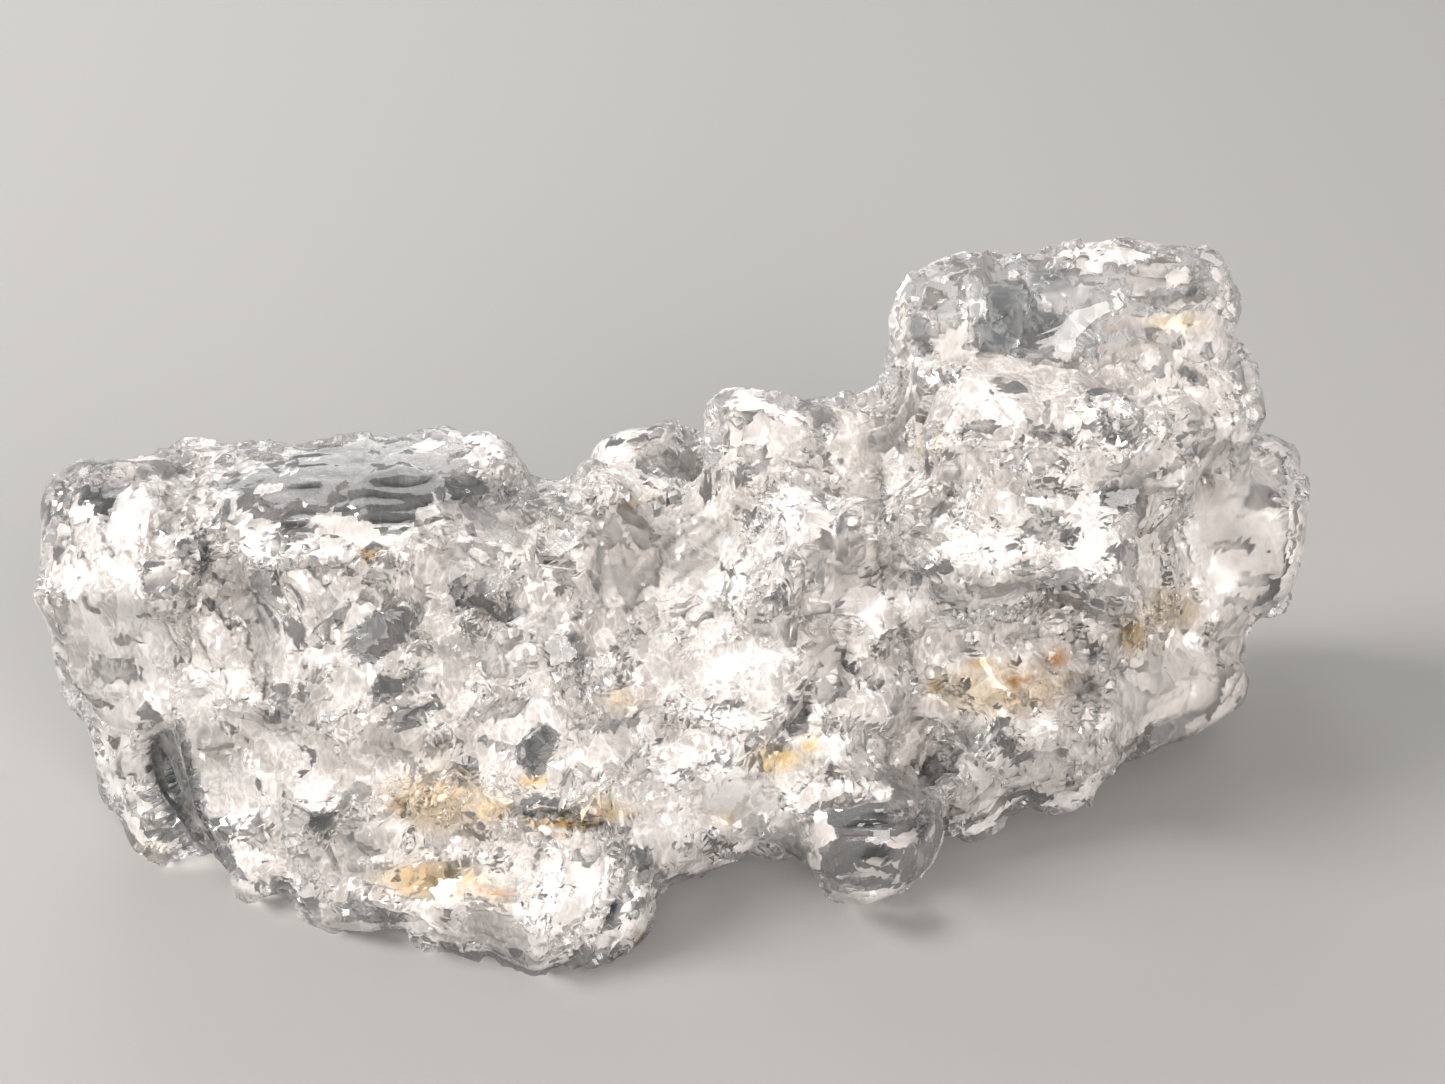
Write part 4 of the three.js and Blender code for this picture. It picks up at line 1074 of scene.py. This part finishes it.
beryl = {
    "tones": {0.0: "#6c7176", 0.12: "#acafb0", 0.3: "#e8e7e6", 0.5: "#ffffff"},
    "yellow": "#e2c05c",
    "brown": "#946018",
    "ior": 1.58,
    "transmission": 0.9,
    "fineFacet": 0.28,  # mm across the finest etch facets
    "facet": 0.6,  # mm across the facets that differ in gloss and tone
    "upright": 0.55,  # facets are higher than they are wide, by one over this
    "bend": (1.111, 0.6),  # mm, how often and how far the facets' edges waver
    "speck": 0.5556,  # mm
    "fineTilt": 0.07,
    "tilt": 0.09,
    "bySpeck": 0.3,  # how much the tone differs from speck to speck,
    "byFacet": 0.18,  # from facet to facet,
    "shadeByFacing": 0.17,  # and with the way that the mesh faces, a painted light and shade per facet
    "facing": (5.1, 2.9, 5.8),  # how fast it then turns light and dark along each axis
    "shift": -0.24,  # brings the three back to the middle
    "whereClear": 0.25,  # how much of them is left on the clear faces
    "darkShare": 0.02,  # of the facets, painted darker as a painted shade of the inside
    "darker": 0.42,  # by how much
    "roughEtched": (0.02, 0.22),
    "roughClear": 0.03,
    "roughHazy": 0.3,
}


def etchedBeryl(spec):
    # Goshenite is beryl with no colour. Etching by natural fluids left its faces frosty with
    # tiny facets, some glassy and some matt, and glassy where it stayed smooth. Iron oxide
    # stains the seams ochre.
    material = bpy.data.materials.new("etched_beryl")
    material.use_nodes = True
    tree = material.node_tree
    tree.nodes.clear()
    marks = {}
    for name in ("clear", "haze", "light", "stain", "brown"):
        marks[name] = addNode(tree, "ShaderNodeAttribute", {"attribute_name": name}, out="Fac")
    rest = {"operation": "SUBTRACT", "use_clamp": True, 0: 1.0}
    etched = addNode(tree, "ShaderNodeMath", rest, {1: marks["clear"]})
    place = addNode(tree, "ShaderNodeTexCoord", out="Object")
    often, far = spec["bend"]
    bend = {"Scale": 1000 / often, "Detail": 2.0}
    bend = addNode(tree, "ShaderNodeTexNoise", bend, {"Vector": place}, "Color")
    shift = {"operation": "SCALE", "Scale": far * mm}
    shift = addNode(tree, "ShaderNodeVectorMath", shift, {0: bend})
    wavered = addNode(tree, "ShaderNodeVectorMath", {"operation": "ADD"}, {0: place, 1: shift})
    stretch = {"Scale": (1.0, 1.0, spec["upright"])}
    grown = addNode(tree, "ShaderNodeMapping", stretch, {"Vector": wavered})
    scale, fineScale = {"Scale": 1000 / spec["facet"]}, {"Scale": 1000 / spec["fineFacet"]}
    cells = addNode(tree, "ShaderNodeTexVoronoi", scale, {"Vector": grown}, "Color")
    fineCells = addNode(tree, "ShaderNodeTexVoronoi", fineScale, {"Vector": grown}, "Color")
    red = addNode(tree, "ShaderNodeSeparateColor", links={"Color": cells}, out="Red")
    green, blue = red.node.outputs["Green"], red.node.outputs["Blue"]

    # tone: what the surface marks say, broken up by specks, by cells and by painted light and shade
    # that follows how each facet faces
    specks = {"Scale": 1000 / spec["speck"], "Detail": 3.0, "Roughness": 0.6}
    mottle = addNode(tree, "ShaderNodeTexNoise", specks, {"Vector": place}, "Fac")
    facing = addNode(tree, "ShaderNodeNewGeometry", out="True Normal")
    along = {"operation": "DOT_PRODUCT", 1: spec["facing"]}
    turned = addNode(tree, "ShaderNodeVectorMath", along, {0: facing}, "Value")
    wave = addNode(tree, "ShaderNodeMath", {"operation": "SINE"}, {0: turned})
    bySpeck = {"operation": "MULTIPLY_ADD", 1: spec["bySpeck"], 2: spec["shift"]}
    spread = addNode(tree, "ShaderNodeMath", bySpeck, {0: mottle})
    for source, amount in ((red, spec["byFacet"]), (wave, spec["shadeByFacing"])):
        more = {"operation": "MULTIPLY_ADD", 1: amount}
        spread = addNode(tree, "ShaderNodeMath", more, {0: source, 2: spread})
    least = spec["whereClear"]
    calm = {"operation": "MULTIPLY_ADD", 1: 1 - least, 2: least}
    calm = addNode(tree, "ShaderNodeMath", calm, {0: etched})
    sources = {0: spread, 1: calm, 2: marks["light"]}
    tone = addNode(tree, "ShaderNodeMath", {"operation": "MULTIPLY_ADD"}, sources)
    # painted shade: a few of the etched facets are painted darker
    few = {"operation": "LESS_THAN", 1: spec["darkShare"]}
    dark = addNode(tree, "ShaderNodeMath", few, {0: green})
    dark = addNode(tree, "ShaderNodeMath", {"operation": "MULTIPLY"}, {0: dark, 1: etched})
    darker = {"operation": "MULTIPLY_ADD", 1: -spec["darker"]}
    tone = addNode(tree, "ShaderNodeMath", darker, {0: dark, 2: tone})
    ramp = addNode(tree, "ShaderNodeValToRGB", links={"Fac": tone})
    setStops(ramp, spec["tones"])
    colour = addStain(tree, marks, ramp, mottle, spec)

    # gloss: each facet has its own, and the milky areas are duller
    low, high = spec["roughEtched"]
    facetRough = addNode(tree, "ShaderNodeMapRange", {"To Min": low, "To Max": high}, {"Value": blue})
    smooth = {"data_type": "FLOAT", 3: spec["roughClear"]}
    roughness = addNode(tree, "ShaderNodeMix", smooth, {"Factor": marks["clear"], 2: facetRough})
    hazy = {"data_type": "FLOAT", 3: spec["roughHazy"]}
    roughness = addNode(tree, "ShaderNodeMix", hazy, {"Factor": marks["haze"], 2: roughness})

    # tilt: each facet turns the surface's normal a little, and all of the facet alike
    normal = facing.node.outputs["Normal"]
    middle = {"operation": "SUBTRACT", 1: (0.5, 0.5, 0.5)}
    for source, tilt in ((cells, spec["tilt"]), (fineCells, spec["fineTilt"])):
        centred = addNode(tree, "ShaderNodeVectorMath", middle, {0: source})
        size = addNode(tree, "ShaderNodeMath", {"operation": "MULTIPLY", 1: tilt * 2}, {0: etched})
        turn = {0: centred, "Scale": size}
        turn = addNode(tree, "ShaderNodeVectorMath", {"operation": "SCALE"}, turn)
        normal = addNode(tree, "ShaderNodeVectorMath", {"operation": "ADD"}, {0: normal, 1: turn})
    normal = addNode(tree, "ShaderNodeVectorMath", {"operation": "NORMALIZE"}, {0: normal})
    glass = {"IOR": spec["ior"], "Transmission Weight": spec["transmission"]}
    surfaceLinks = {"Base Color": colour, "Roughness": roughness, "Normal": normal}
    shader = addNode(tree, "ShaderNodeBsdfPrincipled", glass, surfaceLinks)
    addNode(tree, "ShaderNodeOutputMaterial", links={"Surface": shader})
    return material


crystal.data.materials.append(etchedBeryl(beryl))


cracks = {
    "tones": {0.1: "#827d7a", 0.35: "#9e9894", 0.6: "#bbb5b1", 0.85: "#d6d3d1"},
    "yellow": "#e8d190",
    "brown": "#a87630",
    "grain": 0.22,  # mm
    "cloud": 1.2,  # mm
    "flake": 0.8,  # mm
    "upright": 0.5,  # flakes and grains are higher than they are wide, by one over this
    "edge": 0.07,  # how wide the bright edges of the flakes are, as a share of a flake
    # tone: how much each of the four adds, and its own middle
    "byGrain": (1.0, 0.5),
    "byCloud": (0.4, 0.5),
    "byFlake": (0.4, 0.5),
    "byEdge": (0.25, 0.15),
    "byLight": (0.6, 0.2),  # the surface's marks, painted light and shade among them: how much they add, and the least tone
    "whereClear": 0.9,  # how much of the four is lost under the clear faces
    "roughness": 0.5,
    "bump": (0.6, 0.1),  # strength, and height in mm
}


def crackedBeryl(spec):
    # Healed cracks are walls of tiny bubbles, which scatter light: white where they are
    # dense and grey where they thin out, and they take the surface's painted light and shade
    # too. Iron oxide has crept in along some of them.
    material = bpy.data.materials.new("cracked_beryl")
    material.use_nodes = True
    tree = material.node_tree
    tree.nodes.clear()
    marks = {}
    for name in ("clear", "light", "stain", "brown"):
        marks[name] = addNode(tree, "ShaderNodeAttribute", {"attribute_name": name}, out="Fac")
    place = addNode(tree, "ShaderNodeTexCoord", out="Object")
    stretch = {"Scale": (1.0, 1.0, spec["upright"])}
    grown = addNode(tree, "ShaderNodeMapping", stretch, {"Vector": place})
    grain = {"Scale": 1000 / spec["grain"], "Detail": 2.0}
    grain = addNode(tree, "ShaderNodeTexNoise", grain, {"Vector": grown}, "Fac")
    cloud = {"Scale": 1000 / spec["cloud"], "Detail": 3.0}
    cloud = addNode(tree, "ShaderNodeTexNoise", cloud, {"Vector": place}, "Fac")
    flakes = {"Scale": 1000 / spec["flake"]}
    flakes = addNode(tree, "ShaderNodeTexVoronoi", flakes, {"Vector": grown}, "Color")
    flake = addNode(tree, "ShaderNodeSeparateColor", links={"Color": flakes}, out="Red")
    toEdge = {"feature": "DISTANCE_TO_EDGE", "Scale": 1000 / spec["flake"]}
    edge = addNode(tree, "ShaderNodeTexVoronoi", toEdge, {"Vector": grown}, "Distance")
    fade = {"From Max": spec["edge"], "To Min": 1.0, "To Max": 0.0}
    edge = addNode(tree, "ShaderNodeMapRange", fade, {"Value": edge})
    calm = {"operation": "MULTIPLY_ADD", 1: -spec["whereClear"], 2: 1.0}
    calm = addNode(tree, "ShaderNodeMath", calm, {0: marks["clear"]})
    byLight = {"operation": "MULTIPLY_ADD", 1: spec["byLight"][0], 2: spec["byLight"][1]}
    tone = addNode(tree, "ShaderNodeMath", byLight, {0: marks["light"]})
    parts = {"byGrain": grain, "byCloud": cloud, "byFlake": flake, "byEdge": edge}
    for name, source in parts.items():
        amount, middle = spec[name]
        part = {"operation": "MULTIPLY_ADD", 1: amount, 2: -amount * middle}
        part = addNode(tree, "ShaderNodeMath", part, {0: source})
        sources = {0: part, 1: calm, 2: tone}
        tone = addNode(tree, "ShaderNodeMath", {"operation": "MULTIPLY_ADD"}, sources)
    ramp = addNode(tree, "ShaderNodeValToRGB", links={"Fac": tone})
    setStops(ramp, spec["tones"])
    colour = addStain(tree, marks, ramp, grain, spec)
    strength, height = spec["bump"]
    bump = {"Strength": strength, "Distance": height * mm}
    bump = addNode(tree, "ShaderNodeBump", bump, {"Height": grain})
    finish = {"Roughness": spec["roughness"]}
    shader = addNode(tree, "ShaderNodeBsdfPrincipled", finish, {"Base Color": colour, "Normal": bump})
    addNode(tree, "ShaderNodeOutputMaterial", links={"Surface": shader})
    return material


inner.data.materials.append(crackedBeryl(cracks))


floor = {
    "colour": "#949391",
    "roughness": 0.7,
    "side": 1500,  # mm, from the middle
    "below": 0.02,  # mm, so that it isn't level with the resting places
}


def matteCard(spec):
    # pale matt card, which scatters the light evenly
    material = bpy.data.materials.new("matte_card")
    material.use_nodes = True
    shader = material.node_tree.nodes["Principled BSDF"]
    shader.inputs["Base Color"].default_value = linear(spec["colour"])
    shader.inputs["Roughness"].default_value = spec["roughness"]
    return material


def addFloor(spec):
    side = spec["side"] * mm
    mesh = bpy.data.meshes.new("floor")
    corners = [(-side, -side, 0), (side, -side, 0), (side, side, 0), (-side, side, 0)]
    mesh.from_pydata(corners, [], [(0, 1, 2, 3)])
    obj = bpy.data.objects.new("floor", mesh)
    obj.location.z = -spec["below"] * mm
    bpy.context.scene.collection.objects.link(obj)
    mesh.materials.append(matteCard(spec))


lights = {  # place and size in mm, power in W
    "key": {"at": (-200, 20, 200), "size": 120, "power": 0.94, "colour": "#fffcf8"},
    "back": {"at": (-60, 240, 160), "size": 200, "power": 0.3, "colour": "#ffffff"},
    "front": {"at": (130, -230, 150), "size": 200, "power": 0.8, "colour": "#fff9f4"},
}
lightsAim = (0, 0, 8)  # mm
room = {"colour": "#bcbcbe", "strength": 1.0}


def addLight(name, spec):
    data = bpy.data.lights.new(name, "AREA")
    data.shape = "DISK"
    data.size = spec["size"] * mm
    data.energy = spec["power"]
    data.color = linear(spec["colour"])[:3]
    obj = bpy.data.objects.new(name, data)
    obj.location = Vector(spec["at"]) * mm
    towards = Vector(lightsAim) * mm - obj.location
    obj.rotation_euler = towards.to_track_quat("-Z", "Y").to_euler()
    bpy.context.scene.collection.objects.link(obj)


def addWorld(spec):
    world = bpy.data.worlds.new("world")
    world.use_nodes = True
    background = world.node_tree.nodes["Background"]
    background.inputs["Color"].default_value = linear(spec["colour"])
    background.inputs["Strength"].default_value = spec["strength"]
    bpy.context.scene.world = world


addFloor(floor)
for name, spec in lights.items():
    addLight(name, spec)
addWorld(room)

scene = bpy.context.scene
scene.view_settings.view_transform = "Standard"
scene.cycles.max_bounces = 24  # light meets many faces in a clear crystal before it comes out
scene.cycles.transmission_bounces = 24
scene.cycles.glossy_bounces = 8
scene.cycles.diffuse_bounces = 3
scene.cycles.caustics_reflective = False
scene.cycles.caustics_refractive = True
scene.cycles.blur_glossy = 0.5
scene.cycles.use_denoising = True
print("lights, floor and camera set")
